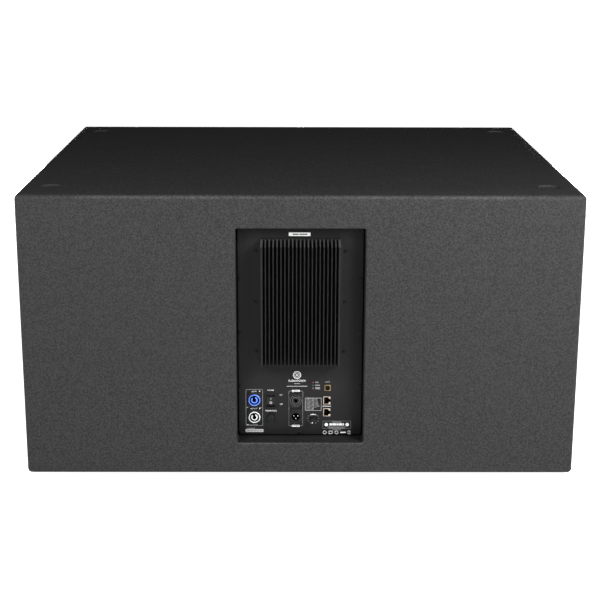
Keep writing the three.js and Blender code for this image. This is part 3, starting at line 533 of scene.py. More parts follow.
def build_top():
    """The top, with a cup for each foot of a cabinet above it, and bores for the grille's screws."""

    def above(node):
        spot = middle_of(node)
        return facing((spot.x, spot.y, OUTER_HIGH.z), UP)

    cup = 0.0205
    dish = [(0.01, -0.005), (cup - 0.004, -0.0032)] + arc(cup - 0.0012, -0.0019, 0.0012, -70, 0, 3)
    dish += [(cup, -0.0012)] + arc(cup + 0.0012, -0.0012, 0.0012, 150, 100, 2) + [(cup + 0.0012, 0.001)]
    bore = [(0.003, -WALL - 0.001), (0.003, -0.005), (0.009, -0.005), (0.009, -0.0006), (0.0098, 0.001)]
    tools = [(turned(dish, 40), above(f"foot_{end}_{side}")) for end, side in CORNERS]
    tools += [(turned(bore, 28), above(screw)) for screw in GRILLE_SCREWS]
    piece = panel("top_panel")
    cut_away(piece.bm, tools)
    piece.done("cabinet_paint", "top_panel", smooth=30)


def handle_frame(end, side):
    """The frame at the middle of a handle, on the cabinet's side, facing out."""
    node = f"handle_{end}_{side}"
    middle = middle_of(node)
    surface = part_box(node)[1 if side == "right" else 0].x
    return facing((surface, middle.y, middle.z), Vector((SIDES[side], 0, 0)))


def build_sides():
    rebate = round_edge(lambda by: inset(*FLANGE, by - 0.0005), -0.0028, 0.002, SHARP)
    hole = round_edge(lambda by: inset(*MOUTH, by - 0.003), -WALL - 0.002, 0.0, SHARP)
    for side in SIDES:
        piece = panel(f"{side}_side_panel")
        places = [handle_frame(end, side) for end in ("front", "rear")]
        cut_away(piece.bm, [(tool, place) for place in places for tool in (rebate, hole)])
        piece.done("cabinet_paint", f"{side}_side_panel", smooth=30)


def build_rear():
    place = facing((PLATE_MIDDLE.x, OUTER_HIGH.y, PLATE_MIDDLE.z), REAR)
    loops = [(rounded(*OPENING), -0.03)]
    for x, y in [polar(RECESS_EDGE, radians(18 * i)) for i in range(6)]:
        loops.append((inset(*OPENING, x - RECESS_EDGE), y - RECESS_EDGE))
    loops.append((inset(*OPENING, -RECESS_EDGE), 0.01))
    piece = panel("rear_panel")
    cut_away(piece.bm, [(loops, place)])
    # Faces inside the opening take the recess paint, which is painted shade.
    inner = piece.index(RECESS_SHADE_PAINT)
    for face in piece.bm.faces:
        off = place.inverted() @ face.calc_center_median()
        within = abs(off.x) < OPENING[0] / 2 + 0.001 and abs(off.y) < OPENING[1] / 2 + 0.001
        if within and off.z < -0.8 * RECESS_EDGE:
            face.material_index = inner
    piece.done("cabinet_paint", "rear_panel", smooth=30)

    tunnel = Piece("recess_tunnel", place)
    outer, throat = (RECESS.x, RECESS.z, 0.003), (OPENING[0] - 0.028, OPENING[1] - 0.028, 0.003)
    far, near = (limit.y - OUTER_HIGH.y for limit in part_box("amp_recess_frame"))
    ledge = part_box("amp_plate")[0].y - 0.002 - OUTER_HIGH.y
    loops = [(rounded(*outer), near), (rounded(*OPENING), near), (rounded(*OPENING), ledge + 0.0015)]
    loops += [(inset(*OPENING, 0.001), ledge), (rounded(*throat), ledge)]
    loops += [(rounded(*throat), far), (rounded(*outer), far)]
    # The recess walls take the recess paint, which is painted shade.
    tunnel.add(loops, RECESS_SHADE_PAINT, closed=True)
    width, height, corner = OPENING
    # Painted shade: a thin near-black lining on the ledge and walls round the plate, where the gap lies in
    # shadow.
    lining = [
        (rounded(*OPENING), ledge),
        (rounded(width - 0.0005, height - 0.0005, corner), ledge + 0.0045),
        (rounded(width - 0.0012, height - 0.0012, corner), ledge + 0.0008),
        (rounded(*throat), ledge + 0.0008),
        (rounded(*throat), ledge),
    ]
    tunnel.add(lining, SHADE_BLACK, closed=True)
    tunnel.done("cabinet_paint", "amp_recess_frame", smooth=30)


def build_bottom():
    panel("bottom_panel").done("cabinet_paint", "bottom_panel", smooth=30)


# ---------------- screws, feet and handles


def screw(piece, at, radius, height, material=BLACK_SCREW, recess=None, base=0.0):
    """A round-headed screw whose head stands on z = base, with a cross or hexagon recess."""
    recess = recess or cross(radius * 0.55, radius * 0.14)
    dome = ((1, 0), (1, 0.45), (0.93, 0.75), (0.75, 1))
    loops = [(circle(radius * r, 24), base + height * z) for r, z in dome]
    piece.add(loops + [(recess, base + height), (recess, base + height * 0.35)], material, at)


def build_grille_screws():
    for name in GRILLE_SCREWS:
        spot = middle_of(name)
        piece = Piece(f"{name}_head", facing((spot.x, spot.y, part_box(name)[1].z), UP))
        length, head = size_of(name).z, 0.0034
        piece.add(turned([(0.0013, -length), (0.0025, -length + 0.003), (0.0025, -head)], 24), BLACK_SCREW)
        screw(piece, (0, 0), 0.0052, head, STEEL, hexagon(0.004), base=-head)
        piece.done("black_steel", name)


def build_feet():
    for end, side in CORNERS:
        name = f"foot_{end}_{side}"
        spot, height = middle_of(name), size_of(name).z
        piece = Piece(f"rubber_{name}", facing((spot.x, spot.y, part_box(name)[1].z), -UP))
        profile = [(0.0188, 0.0), (0.019, 0.0004), (0.0174, height - 0.0022)]
        profile += arc(0.0152, height - 0.0018, 0.0018, 10, 90, 4)
        profile += [(0.0072, height), (0.0068, height - 0.0005), (0.0066, 0.004), (0.0062, 0.0035)]
        piece.add(turned(profile, 56), RUBBER)
        piece.add(turned([(0.0063, 0.0035), (0.0063, 0.0042), (0.0045, 0.0044)], 24), STEEL)
        screw(piece, (0, 0), 0.0042, 0.0024, STEEL, cross(0.0023, 0.0006), base=0.0042)
        piece.done("black_rubber", name)


def handle_dish(depth):
    """Loops of a handle's dish and flange, from the inside of its floor round to the outside."""
    length, height, corner = FLANGE
    wall = 0.0025
    floor = wall - depth
    inside = [(0.007, floor), (0.004, floor + 0.0012), (0.002, floor + 0.004), (0.001, floor + 0.009)]
    inside += [(0.0, -0.004), (-0.0006, -0.0018), (-0.002, -0.0004), (-0.0035, 0)]
    return [(inset(*MOUTH, by), z) for by, z in inside] + [
        (inset(*FLANGE, 0.001), 0.0),
        (rounded(length - 0.0005, height - 0.0005, corner), -0.0006),
        (rounded(*FLANGE), -wall),
        (inset(*MOUTH, -wall), -wall),
        (inset(*MOUTH, -wall), -depth),
    ]


def grip_sleeve():
    """Loops of the ribbed sleeve on a handle's bar."""
    radius, groove, ribs, half = 0.0145, 0.0012, 26, MOUTH[0] / 2 - 0.012
    step = 2 * half / ribs
    loops = []
    for i in range(ribs):
        for ring, share in ((radius - groove, 0), (radius, 0.3), (radius, 0.8)):
            loops.append((circle(ring, 28), -half + (i + share) * step))
    return loops + [(circle(radius - groove, 28), half)]


def build_handles():
    """Recessed dishes, each with a ribbed rubber sleeve on a steel bar and eight screws in its flange."""
    length, height, _ = FLANGE
    bar, grip_or_shade_band, sideways = MOUTH[0] / 2 + 0.001, (0, 0, -0.019), turn("Y", 90)
    spots = [(x * (length / 2 - 0.012), y * (height / 2 - 0.0065)) for x in (-1, 0, 1) for y in (-1, 1)]
    spots += [(x * (length / 2 - 0.0065), 0) for x in (-1, 1)]
    for end, side in CORNERS:
        name = f"handle_{end}_{side}"
        piece = Piece(f"bar_{name}", handle_frame(end, side))
        piece.add(handle_dish(size_of(name).x), POWDER)
        piece.add(grip_sleeve(), RUBBER, grip_or_shade_band, sideways)
        piece.add(disc(0.009, -bar, bar), STEEL, grip_or_shade_band, sideways)
        for at in spots:
            screw(piece, at, 0.0042, 0.0016, BLACK_SCREW, hexagon(0.003), base=-0.0001)
        piece.done("black_steel", name)


# ---------------- grille and foam


def perforated_sheet(bm, half_width, half_height, border):
    """A flat sheet in z = 0 with hexagonal holes, left whole within `border` of its edge."""
    side = HOLE_PITCH / sqrt(3)
    cell, hole = ([polar(r, pi / 6 + pi / 3 * i) for i in range(6)] for r in (side, HOLE_WIDTH / sqrt(3)))
    corners = {}

    def corner(x, y):
        key = (round(x * 1e6), round(y * 1e6))
        if key not in corners:
            corners[key] = bm.verts.new((x, y, 0))
        return corners[key]

    rows, columns = int(half_height / (1.5 * side)) + 2, int(half_width / HOLE_PITCH) + 2
    for row in range(-rows, rows + 1):
        for column in range(-columns, columns + 1):
            cx, cy = (column + 0.5 * (row % 2)) * HOLE_PITCH, row * 1.5 * side
            outer = [corner(cx + x, cy + y) for x, y in cell]
            if abs(cx) >= half_width - border or abs(cy) >= half_height - border:
                bm.faces.new(outer)
                continue
            inner = [bm.verts.new((cx + x, cy + y, 0)) for x, y in hole]
            for i in range(6):
                j = (i + 1) % 6
                bm.faces.new((outer[i], outer[j], inner[j], inner[i]))
    for axis, limit in ((0, half_width), (1, half_height)):
        for sign in (-1, 1):
            trim(bm, axis, sign * limit, sign)


def build_grille():
    low, middle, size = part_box("front_grille")[0], middle_of("front_grille"), size_of("front_grille")
    place = facing((middle.x, low.y, middle.z), FRONT)
    sheet, fold = 0.0015, 0.004
    face = Piece("grille_face", place)
    perforated_sheet(face.bm, size.x / 2 - fold, size.z / 2 - fold, 0.012)
    face.index(POWDER)
    made = face.done("black_steel", "front_grille", smooth=40)
    thick = made.modifiers.new("sheet", "SOLIDIFY")
    thick.thickness, thick.offset = sheet, -1

    rim = Piece("grille_rim", place)
    outline, inner = (size.x, size.z, 0.005), fold - sheet
    quarter = [radians(22.5 * i) for i in range(5)]
    loops = [(inset(*outline, fold * (1 - sin(a)), 0.001), fold * (cos(a) - 1)) for a in quarter]
    loops += [(rounded(*outline), -size.y), (inset(*outline, sheet), -size.y)]
    for a in reversed(quarter):
        loops.append((inset(*outline, sheet + inner * (1 - sin(a)), 0.001), inner * cos(a) - fold))
    rim.add(loops, POWDER, closed=True)
    rim.done("black_steel", smooth=40)


def build_foam():
    middle, size = middle_of("grille_foam"), size_of("grille_foam")
    piece = Piece("acoustic_foam", facing((middle.x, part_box("grille_foam")[1].y, middle.z), FRONT))
    piece.add(pad(size.x, size.z, 0.006, 0.0, size.y, 0.002, both=True), FOAM)
    made = piece.done("black_foam", "grille_foam")


# ---------------- amplifier plate and heat sink


def spot(node):
    """The middle of a node, to the right of and above the plate's middle as seen from behind."""
    off = middle_of(node) - PLATE_MIDDLE
    return -off.x, off.z


def on_plate(name, node="amp_plate"):
    """A piece on the plate, its frame at a node's middle."""
    x, y = spot(node)
    return Piece(name, facing(PLATE_MIDDLE + Vector((-x, 0, y)), REAR))


def build_plate():
    """The plate, with an opening for each connector and control: a radius, or a width and a height."""
    openings = {node: 0.0119 for node in (*MAINS, "combo_input", "link_output")}
    openings.update({"rocker_housing": (0.0194, 0.0274), "fuse_holder": 0.0064})
    openings.update({"level_pot": 0.0037, "usb_port": (0.0124, 0.0126)})
    openings.update({node: (0.0143, 0.0165) for node in ETHERNET})
    openings["combo_latch"] = (0.0076, 0.0048)
    piece = on_plate("amp_face_plate")
    piece.add(pad(PLATE_SIZE.x, PLATE_SIZE.z, 0.003, -PLATE_SIZE.y, 0, 0.0005), ANODISED)
    through = (-PLATE_SIZE.y - 0.001, 0.001, SHARP)

    def tool(size):
        return disc(size, *through) if isinstance(size, float) else pad(*size, 0.0008, *through)

    piece.cut(*[(tool(size), spot(node)) for node, size in openings.items()])
    piece.done("black_aluminium", "amp_plate", smooth=30)


def build_plate_screws():
    """Screws on thin washers along the plate's edges and on both sides of the heat sink."""
    piece = on_plate("plate_screws")
    side, sink = PLATE_SIZE.x / 2 - 0.004, 0.0855
    spots = [(sign * side, y) for sign in (-1, 1) for y in (-0.206, -0.108, -0.001, 0.106, 0.2045)]
    for at in spots + [(0, -0.206), (0, 0.2045)]:
        screw(piece, at, 0.0031, 0.0018)
        piece.add(disc(0.0036, 0, 0.0004, 0.0002, 24), BLACK_SCREW, at)
    for at in [(sign * sink, y) for sign in (-1, 1) for y in (0.16, 0.06, -0.039)]:
        screw(piece, at, 0.0033, 0.0022)
        piece.add(disc(0.0042, 0, 0.0005, 0.0002, 24), BLACK_SCREW, at)
    piece.done("black_steel")


def build_heat_sink():
    """A base with upright fins whose ends slope back towards their tips."""
    size = size_of("heat_sink")
    width, height, reach = size.x, size.z, size.y
    piece = on_plate("heat_sink_extrusion", "heat_sink")
    slope = 0.009 / (reach - SINK_BASE)
    piece.add(pad(width, height, 0.0006, 0, SINK_BASE), SINK_BLACK)
    # Painted shade: a thin dull sheet on the base between the fins, where the gaps lie in shadow.
    floor = pad(width - 0.004, height - 0.002, 0.0006, SINK_BASE - 0.001, SINK_BASE + 0.0002, SHARP)
    piece.add(floor, SINK_FLOOR_SHADE)
    # Painted highlight: the fins' end faces take the lighter ends material.
    ends = piece.index(SINK_ENDS_HIGHLIGHT)
    for i in range(FINS):
        half = (END_FIN if i in (0, FINS - 1) else FIN) / 2
        tip = half * 0.86
        right = [(half, SINK_BASE - 0.001), (tip, reach - 0.0009), (tip - 0.0006, reach - 0.0002)]
        right.append((tip - 0.0009, reach))
        left = [(-x, z) for x, z in right]
        section = left[:1] + right + left[:0:-1]
        centre = (END_FIN - width) / 2 + i * (width - END_FIN) / (FINS - 1)
        rows = []
        for end in (-1, 1):
            lines = [(centre + x, end * (height / 2 - slope * max(0, z - SINK_BASE)), z) for x, z in section]
            rows.append([piece.bm.verts.new(point) for point in lines])
        faces = [piece.bm.faces.new(rows[0]), piece.bm.faces.new(rows[1][::-1])]
        for j in range(len(section)):
            k = (j + 1) % len(section)
            faces.append(piece.bm.faces.new((rows[0][k], rows[0][j], rows[1][j], rows[1][k])))
        bmesh.ops.recalc_face_normals(piece.bm, faces=faces)
        for face in faces[:2]:
            face.material_index = ends
    piece.done("black_aluminium", "heat_sink", smooth=30)


# ---------------- connectors


def connector_flange(piece):
    """The thin black flange of a round connector, with two screws across a diagonal."""
    bore, thickness = 0.0115, 0.002
    hole = rounded(2 * bore, 2 * bore, bore)
    loops = pad(0.026, 0.031, 0.003, 0, thickness, 0.0005) + [(hole, thickness), (hole, 0)]
    piece.add(loops, PLASTIC, closed=True)
    for sign in (-1, 1):
        at = (sign * 0.0096, -sign * 0.0121)
        screw(piece, at, 0.0019, 0.0009, BLACK_SCREW, cross(0.001, 0.0003), base=thickness)


def build_mains():
    """Locking mains connectors: a coloured ring, a deep groove in painted shade, and a slotted coloured core
    whose deeper part, bore and keyway are painted shade.
    """
    ring, groove, core, front, floor = 0.0116, 0.0094, 0.0065, 0.0034, -0.022
    lip = front - 0.0012
    for node, body, slot in zip(MAINS, (BLUE, GREY), ("blue_plastic", "grey_plastic")):
        piece = on_plate(f"{node}_socket", node)
        connector_flange(piece)
        profile = [(groove, lip), (groove, front - 0.0005), (groove + 0.0005, front)]
        profile += [(ring - 0.0008, front), (ring, front - 0.0008), (ring, lip)]
        piece.add(turned(profile, 56), body, closed=True)
        well = [(groove, floor), (groove, lip), (ring, lip), (ring, floor)]
        # Painted shade: the groove's walls and floor are near-black.
        piece.add(turned(well, 56), SHADE_BLACK, closed=True)
        piece.add(disc(groove + 0.001, floor - 0.001, floor + 0.0005), SHADE_BLACK)
        plug = Piece("core")
        # Painted shade: the core below its coloured end is near-black.
        plug.add(turned([(core, floor), (core, lip - 0.0005)], 40), SHADE_BLACK)
        end = [(core, lip - 0.0005), (core, front - 0.0009), (core - 0.0005, front - 0.0004)]
        plug.add(turned(end, 40), body)
        bore = disc(0.004, -0.01, 0.006, SHARP)
        keyway = pad(0.005, 0.0092, 0.0012, -0.01, 0.006, SHARP)
        plug.cut((bore, (0, 0)), (keyway, (0, 0), turn("Z", 12) @ shift((0, 0.0045))), material=SHADE_BLACK)
        piece.merge(plug)
        piece.done(slot, node)


def build_combo():
    """A jack and microphone-type socket in one shell, with a release tab at the top."""
    piece = on_plate("combo_socket", "combo_input")
    connector_flange(piece)
    front, floor = 0.0028, -0.02
    profile = [(0.01, floor), (0.01, front - 0.0009), (0.0104, front - 0.0001), (0.0112, front)]
    profile += [(0.0118, front - 0.0008), (0.0118, floor)]
    piece.add(turned(profile, 56), PLASTIC, closed=True)
    # Painted shade: the floor of the socket, the insert's holes and the latch slit are near-black.
    piece.add(disc(0.0105, floor - 0.001, floor + 0.0005), SHADE_BLACK)
    insert = Piece("insert")
    insert.add(turned([(0.0086, floor), (0.0086, 0.001), (0.008, 0.0016), (0.0072, 0.0018)]), PLASTIC)
    tools = [(disc(0.0033, -0.016, 0.006, SHARP), (0, 0))]
    for angle in (30, 150, 270):
        tools.append((disc(0.0014, -0.012, 0.006, SHARP, 20), polar(0.005, radians(angle))))
    insert.cut(*tools, material=SHADE_BLACK)
    piece.merge(insert)
    # Two mid-grey rims: partly the rims' own grey, partly a painted highlight on their edges.
    for inner, outer, height in ((0.0099, 0.011, 0.0029), (0.0062, 0.0074, 0.0021)):
        rim = [(inner, height - 0.0006), (inner, height), (outer, height), (outer, height - 0.0006)]
        piece.add(turned(rim), MID_PLASTIC, closed=True)
    size, clear = size_of("combo_latch"), 0.0006
    slit = pad(size.x + clear, size.z + clear, 0.0004, -0.0105, 0.006, SHARP)
    piece.cut((slit, (0, spot("combo_latch")[1] - spot("combo_input")[1])), material=SHADE_BLACK)
    piece.done("black_plastic", "combo_input")

    latch = on_plate("combo_release_tab", "combo_latch")
    back, reach = (limit.y - PLATE_MIDDLE.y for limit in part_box("combo_latch"))
    latch.add(pad(size.x, size.z, 0.0008, back, reach, 0.0006), PLASTIC)
    for y in (-0.001, 0, 0.001):
        latch.add(pad(0.0048, 0.0004, 0.0001, reach - 0.0002, reach + 0.0002, SHARP), POWDER, (0, y))
    latch.done("black_plastic", "combo_latch", body="combo_latch")


def build_link_output():
    piece = on_plate("link_plug_socket", "link_output")
    connector_flange(piece)
    front, floor, bore, rim = 0.0028, -0.017, 0.008, 0.0118
    profile = [(bore, front - 0.0012), (bore, front - 0.0006), (bore + 0.0005, front), (0.0112, front)]
    profile += [(rim, front - 0.0007), (rim, front - 0.0012)]
    piece.add(turned(profile, 56), PLASTIC, closed=True)
    well = [(bore, floor), (bore, front - 0.0013), (rim, front - 0.0013), (rim, floor)]
    # Painted shade: the well, its floor and the pin and latch holes are near-black.
    piece.add(turned(well, 56), SHADE_BLACK, closed=True)
    piece.add(disc(bore + 0.001, floor - 0.001, floor + 0.001), SHADE_BLACK)
    piece.add(pad(0.0022, 0.0014, 0.0003, floor, 0.001, 0.0003), SHADE_BLACK, (0, 0.0075))
    for at in ((-0.0039, 0.0016), (0.0039, 0.0016), (0, -0.004)):
        piece.add(disc(0.0012, floor, -0.0012, sides=20), SHADE_BLACK, at)
        piece.add(turned([(0.0012, -0.0012), (0.0012, -0.0008), (0.0008, -0.0003)], 20), PIN, at)
    piece.done("black_plastic", "link_output")


def build_ethernet():
    """Network sockets on their sides, each with its latch notch to the right."""
    half = [(-0.0058, 0.0069), (0.0034, 0.0069), (0.0034, 0.0042), (0.005, 0.0042), (0.005, 0.003)]
    half += [(0.0074, 0.003)]
    mouth = [(x, -y) for x, y in half] + half[::-1]
    for node in ETHERNET:
        piece = on_plate(f"{node}_shell", node)
        piece.add(pad(0.014, 0.0162, 0.0006, -0.016, 0.0009, 0.0003), SHELL)
        # Painted shade: the mouth's walls and a sheet at its bottom are near-black.
        piece.cut(([(mouth, -0.013), (mouth, 0.003)], (0, 0)), material=SHADE_BLACK)
        piece.add([(scaled(mouth, 0.985), -0.0132), (scaled(mouth, 0.985), -0.0125)], SHADE_BLACK)
        # The contacts take the dull dark brown, which is painted shade.
        for i in range(8):
            wire = shift((-0.0034, (i - 3.5) * 0.00102, -0.0105)) @ turn("Y", -20)
            piece.add(pad(0.0004, 0.00045, 0.0001, -0.005, 0.0045, SHARP), SHADED_CONTACT, tilt=wire)
        for sign in (-1, 1):
            piece.add(pad(0.0018, 0.0009, 0.0002, -0.001, 0.0012, 0.0002), SHELL, (0.0052, sign * 0.0062))
        piece.done("connector_metal", node, smooth=30)


def build_usb():
    piece = on_plate("data_port_shell", "usb_port")
    piece.add(pad(0.0112, 0.0115, 0.0008, -0.015, 0.001, 0.0003), BRASS_SHELL)
    half = [(-0.0047, 0.0049), (0.0029, 0.0049), (0.0047, 0.0031)]
    mouth = [(x, -y) for x, y in half] + half[::-1]
    # Painted shade: the mouth's walls are near-black.
    piece.cut(([(mouth, -0.011), (mouth, 0.003)], (0, 0)), material=SHADE_BLACK)
    piece.add(pad(0.0026, 0.005, 0.0003, -0.0112, -0.003, 0.0003), PLASTIC)
    # The contacts take the dull dark brown, which is painted shade.
    for x in (-0.00165, 0.00165):
        for y in (0.0014, -0.0014):
            piece.add(pad(0.0002, 0.0012, 0.00005, -0.009, -0.0018, 0.00005), SHADED_CONTACT, (x, y))
    piece.done("connector_metal", "usb_port", smooth=30)


LIGHT_PITCH = 0.006  # between indicators


def build_indicators():
    piece = on_plate("indicator_lenses", "indicator_light_pipe")
    low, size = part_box("indicator_light_pipe")[0], size_of("indicator_light_pipe")
    piece.add(pad(0.008, size.z, 0.0006, low.y - PLATE_MIDDLE.y, -0.0042), LABEL)
    dome = [(0.0013, -0.0045), (0.0013, 0.0002)] + arc(0.0003, -0.0001, 0.001, 20, 85, 4)
    bezel = [(0.00135, -0.0005), (0.00135, 0.0003), (0.0019, 0.0003), (0.0021, 0.0), (0.0021, -0.0005)]
    for i, lens in enumerate((RED_LENS, GREEN_LENS, AMBER_LENS)):
        piece.add(turned(dome, 20), lens, (0, (1 - i) * LIGHT_PITCH))
        piece.add(turned(bezel, 24), GLOSS_PLASTIC, (0, (1 - i) * LIGHT_PITCH), closed=True)
    piece.done("clear_plastic", "indicator_light_pipe")


# ---------------- controls


def build_rocker():
    housing = on_plate("rocker_bezel", "rocker_housing")
    housing.add(pad(0.0215, 0.03, 0.0018, 0, 0.0022, 0.0007), PLASTIC)
    housing.add(pad(0.019, 0.027, 0.0008, -0.021, 0.0005, 0.0003), PLASTIC)
    # Painted shade: the walls of the housing's opening are near-black.
    housing.cut((pad(0.018, 0.0252, 0.0008, -0.015, 0.004, 0.0002), (0, 0)), material=SHADE_BLACK)
    housing.done("black_plastic", "rocker_housing", smooth=30)

    # The rocker is drawn from the side, with y up and z out, and rests with its upper end pressed in.
    joint = next(j for j in frame["joints"] if j["name"] == "power_rocker_tilt")
    rocker = Piece("power_rocker_button", facing(Vector(joint["pos_m"]), REAR))
    width, half, edge, lean = 0.0172, 0.0112, 0.0004, turn("X", -11)
    heights = [half * (i / 6 - 1) for i in range(13)]
    section = [(y, 0.0044 + 0.0022 * (y / half) ** 2) for y in heights]
    section += [(half - 0.0012, 0.001), (0.003, -0.004), (-0.003, -0.004), (0.0012 - half, 0.001)]
    side = [(-z, y) for y, z in section]
    ends = scaled(side, 0.985)
    loops = [(ends, -width / 2), (side, edge - width / 2), (side, width / 2 - edge), (ends, width / 2)]
    rocker.add(loops, PLASTIC, tilt=lean @ Matrix(((0, 0, 1, 0), (0, 1, 0, 0), (-1, 0, 0, 0), (0, 0, 0, 1))))
    # Painted shade: a near-black strip across each end of the rocker, where the pressed-in end lies in
    # shadow.
    for sign in (-1, 1):
        grip_or_shade_band = lean @ shift((0, sign * 0.0092, 0.0058)) @ turn("X", sign * 18)
        rocker.add(pad(width - 0.0008, 0.0036, 0.0004, -0.0005, 0.0002, SHARP), SHADE_BLACK, tilt=grip_or_shade_band)
    on_mark = lean @ shift((0, 0.0032, 0.0046)) @ turn("X", 6)
    rocker.add(pad(0.0009, 0.0036, 0.0002, 0, 0.0002, SHARP), SILVER_INK, tilt=on_mark)
    off_mark = lean @ shift((0, -0.0048, 0.0048)) @ turn("X", -10)
    circlet = turned([(0.0016, 0), (0.0016, 0.0002), (0.0025, 0.0002), (0.0025, 0)], 28)
    rocker.add(circlet, SILVER_INK, tilt=off_mark, closed=True)
    rocker.done("black_plastic", "power_rocker", body="power_rocker", smooth=35)


def wavy(sides, radius_at):
    """An outline whose radius changes with the angle."""
    angles = [2 * pi * i / sides for i in range(sides)]
    return [polar(radius_at(angle), angle) for angle in angles]


def build_fuse():
    holder = on_plate("fuse_socket", "fuse_holder")
    profile = [(0.0053, -0.034), (0.0053, 0.0022), (0.0074, 0.0022), (0.0079, 0.0014), (0.0079, 0)]
    holder.add(turned(profile + [(0.0062, 0), (0.0062, -0.034)], 40), PLASTIC, closed=True)
    holder.done("black_plastic", "fuse_holder")

    cap = on_plate("fuse_knob", "fuse_cap")
    smooth = circle(0.0061, 72)
    grip_or_shade_band = wavy(72, lambda angle: 0.00645 - (0.00035 if round(angle * 36 / pi) % 4 in (2, 3) else 0.0))
    loops = [(circle(0.0048, 72), -0.027), (circle(0.0048, 72), 0.0024), (smooth, 0.0025), (grip_or_shade_band, 0.003)]
    loops += [(grip_or_shade_band, 0.0078), (scaled(smooth, 0.97), 0.0086), (scaled(smooth, 0.88), 0.009)]
    cap.add(loops, PLASTIC)
    cap.cut((pad(0.0016, 0.0082, 0.0005, 0.0072, 0.012, SHARP), (0, 0)))
    cap.done("black_plastic", "fuse_cap", body="fuse_cap", smooth=30)


def build_level():
    pot = on_plate("level_bush", "level_pot")
    pot.add(pad(0.017, 0.017, 0.001, -0.015, -0.005, 0.0005), STEEL)
    bush = [(0.0031, -0.006), (0.0031, 0.0015), (0.0035, 0.0012), (0.0035, -0.006)]
    pot.add(turned(bush, 28), STEEL, closed=True)
    pot.done("bare_steel", "level_pot")

    def knob_ring(radius, flute, z):
        return wavy(96, lambda angle: radius - flute * max(0.0, cos(angle * 16)) ** 2), z

    knob = on_plate("level_control_knob", "level_knob")
    rings = ((0.0062, 0, 0.0018), (0.0066, 0, 0.0022), (0.0066, 0, 0.0046), (0.0062, 0.0001, 0.0052))
    rings += ((0.006, 0.0004, 0.0062), (0.0056, 0.0004, 0.0146), (0.0051, 0, 0.0153), (0.0046, 0, 0.0155))
    knob.add([knob_ring(*ring) for ring in (*rings, (0.0042, 0, 0.0152))], PLASTIC)
    knob.add(disc(0.0029, -0.009, 0.003, 0.0003), STEEL)
    pointer = turn("Z", 150) @ shift((0, 0.004))
    knob.add(pad(0.0012, 0.0024, 0.0003, 0.015, 0.0157, SHARP), WHITE_INK, tilt=pointer)
    knob.done("black_plastic", "level_knob", body="level_knob", smooth=35)


# ---------------- printed legends


def write(piece, text, size, x, y, ink=WHITE_INK, lift=0.0):
    """Printed lettering, centred on a point."""
    curve = bpy.data.curves.new("text", "FONT")
    curve.body, curve.size, curve.extrude = text, size, PRINT / 2
    curve.align_x, curve.align_y = "CENTER", "CENTER"
    curve.resolution_u = 3
    made = into_scene("text", curve)
    mesh = evaluated_mesh(made)
    bpy.data.objects.remove(made)
    bpy.data.curves.remove(curve)
    mesh.transform(shift((x, y, lift + PRINT / 2)))
    piece.take(mesh, [ink])


def bar(piece, width, height, x, y, ink=GREY_INK, radius=0.0001, tall=PRINT):
    piece.add(flat(rounded(width, height, radius, 3), tall), ink, (x, y))


def dot(piece, radius, sides, at):
    piece.add(flat(circle(radius, sides)), WHITE_INK, at)


def ring(piece, radius, line, at):
    profile = [(radius - line, 0), (radius - line, PRINT), (radius, PRINT), (radius, 0)]
    piece.add(turned(profile, 40), WHITE_INK, at, closed=True)


def outline_frame(piece, width, height, radius, line, at, ink=GREY_INK):
    """A printed rectangle of thin lines."""
    outer, inner = rounded(width, height, radius), inset(width, height, radius, line)
    piece.add(flat(outer) + flat(inner)[::-1], ink, at, closed=True)


def print_mains(piece):
    """The frame round both mains connectors, their names, and blank bars for their ratings."""
    (x, upper), (_, lower) = (spot(node) for node in MAINS)
    middle = (upper + lower) / 2
    outline_frame(piece, 0.0334, 0.0753, 0.0018, 0.0008, (x - 0.0003, middle + 0.0018))
    bar(piece, 0.0334, 0.0008, x - 0.0003, middle + 0.0016)
    flash = [(-0.0013, -0.0002), (-0.0003, -0.0002), (-0.0012, -0.0017), (0.0012, 0.0003), (0.0002, 0.0003)]
    flash += [(0.0012, 0.0017), (-0.001, 0.0017)]
    for node, text in zip(MAINS, ("AC IN", "AC OUT")):
        left, y = spot(node)
        write(piece, text, 0.0036, left - 0.001, y + 0.0172)
        piece.add(flat(flash), WHITE_INK, (left + 0.0105, y + 0.0172))
        bar(piece, 0.022, 0.0014, left - 0.004, y - 0.0158, WHITE_INK)
    bar(piece, 0.035, 0.0062, x - 0.0002, -0.2012, SILVER_INK, 0.0005)
    for i in range(5):
        bar(piece, 0.0045, 0.0016, x - 0.012 + 0.006 * i, -0.2012, tall=2 * PRINT)
    bar(piece, 0.016, 0.0018, x - 0.0075, -0.1966)


def print_signals(piece):
    """A frame round the two signal connectors, with a white tab above and below."""
    (x, upper), (_, lower) = spot("combo_input"), spot("link_output")
    middle = (upper + lower) / 2 + 0.0003
    outline_frame(piece, 0.0278, 0.0722, 0.0022, 0.0008, (x, middle))
    for text, y in (("INPUT", middle + 0.0361), ("LINK", middle - 0.0361)):
        bar(piece, 0.0158, 0.0037, x, y, WHITE_INK, 0.3 * 0.0037)
        write(piece, text, 0.0032, x, y, DARK_INK, PRINT)


def print_mark(piece, x, y):
    """Two rings and a dot, which stand for a woofer, over the kind of unit."""
    ring(piece, 0.0078, 0.0014, (x, y))
    ring(piece, 0.0048, 0.0008, (x, y))
    dot(piece, 0.0019, 24, (x, y))
    write(piece, "SUBWOOFER", 0.0056, x, y - 0.012)
    bar(piece, 0.012, 0.0018, x, y - 0.0175)
    bar(piece, 0.04, 0.001, x, y - 0.023, SILVER_INK)


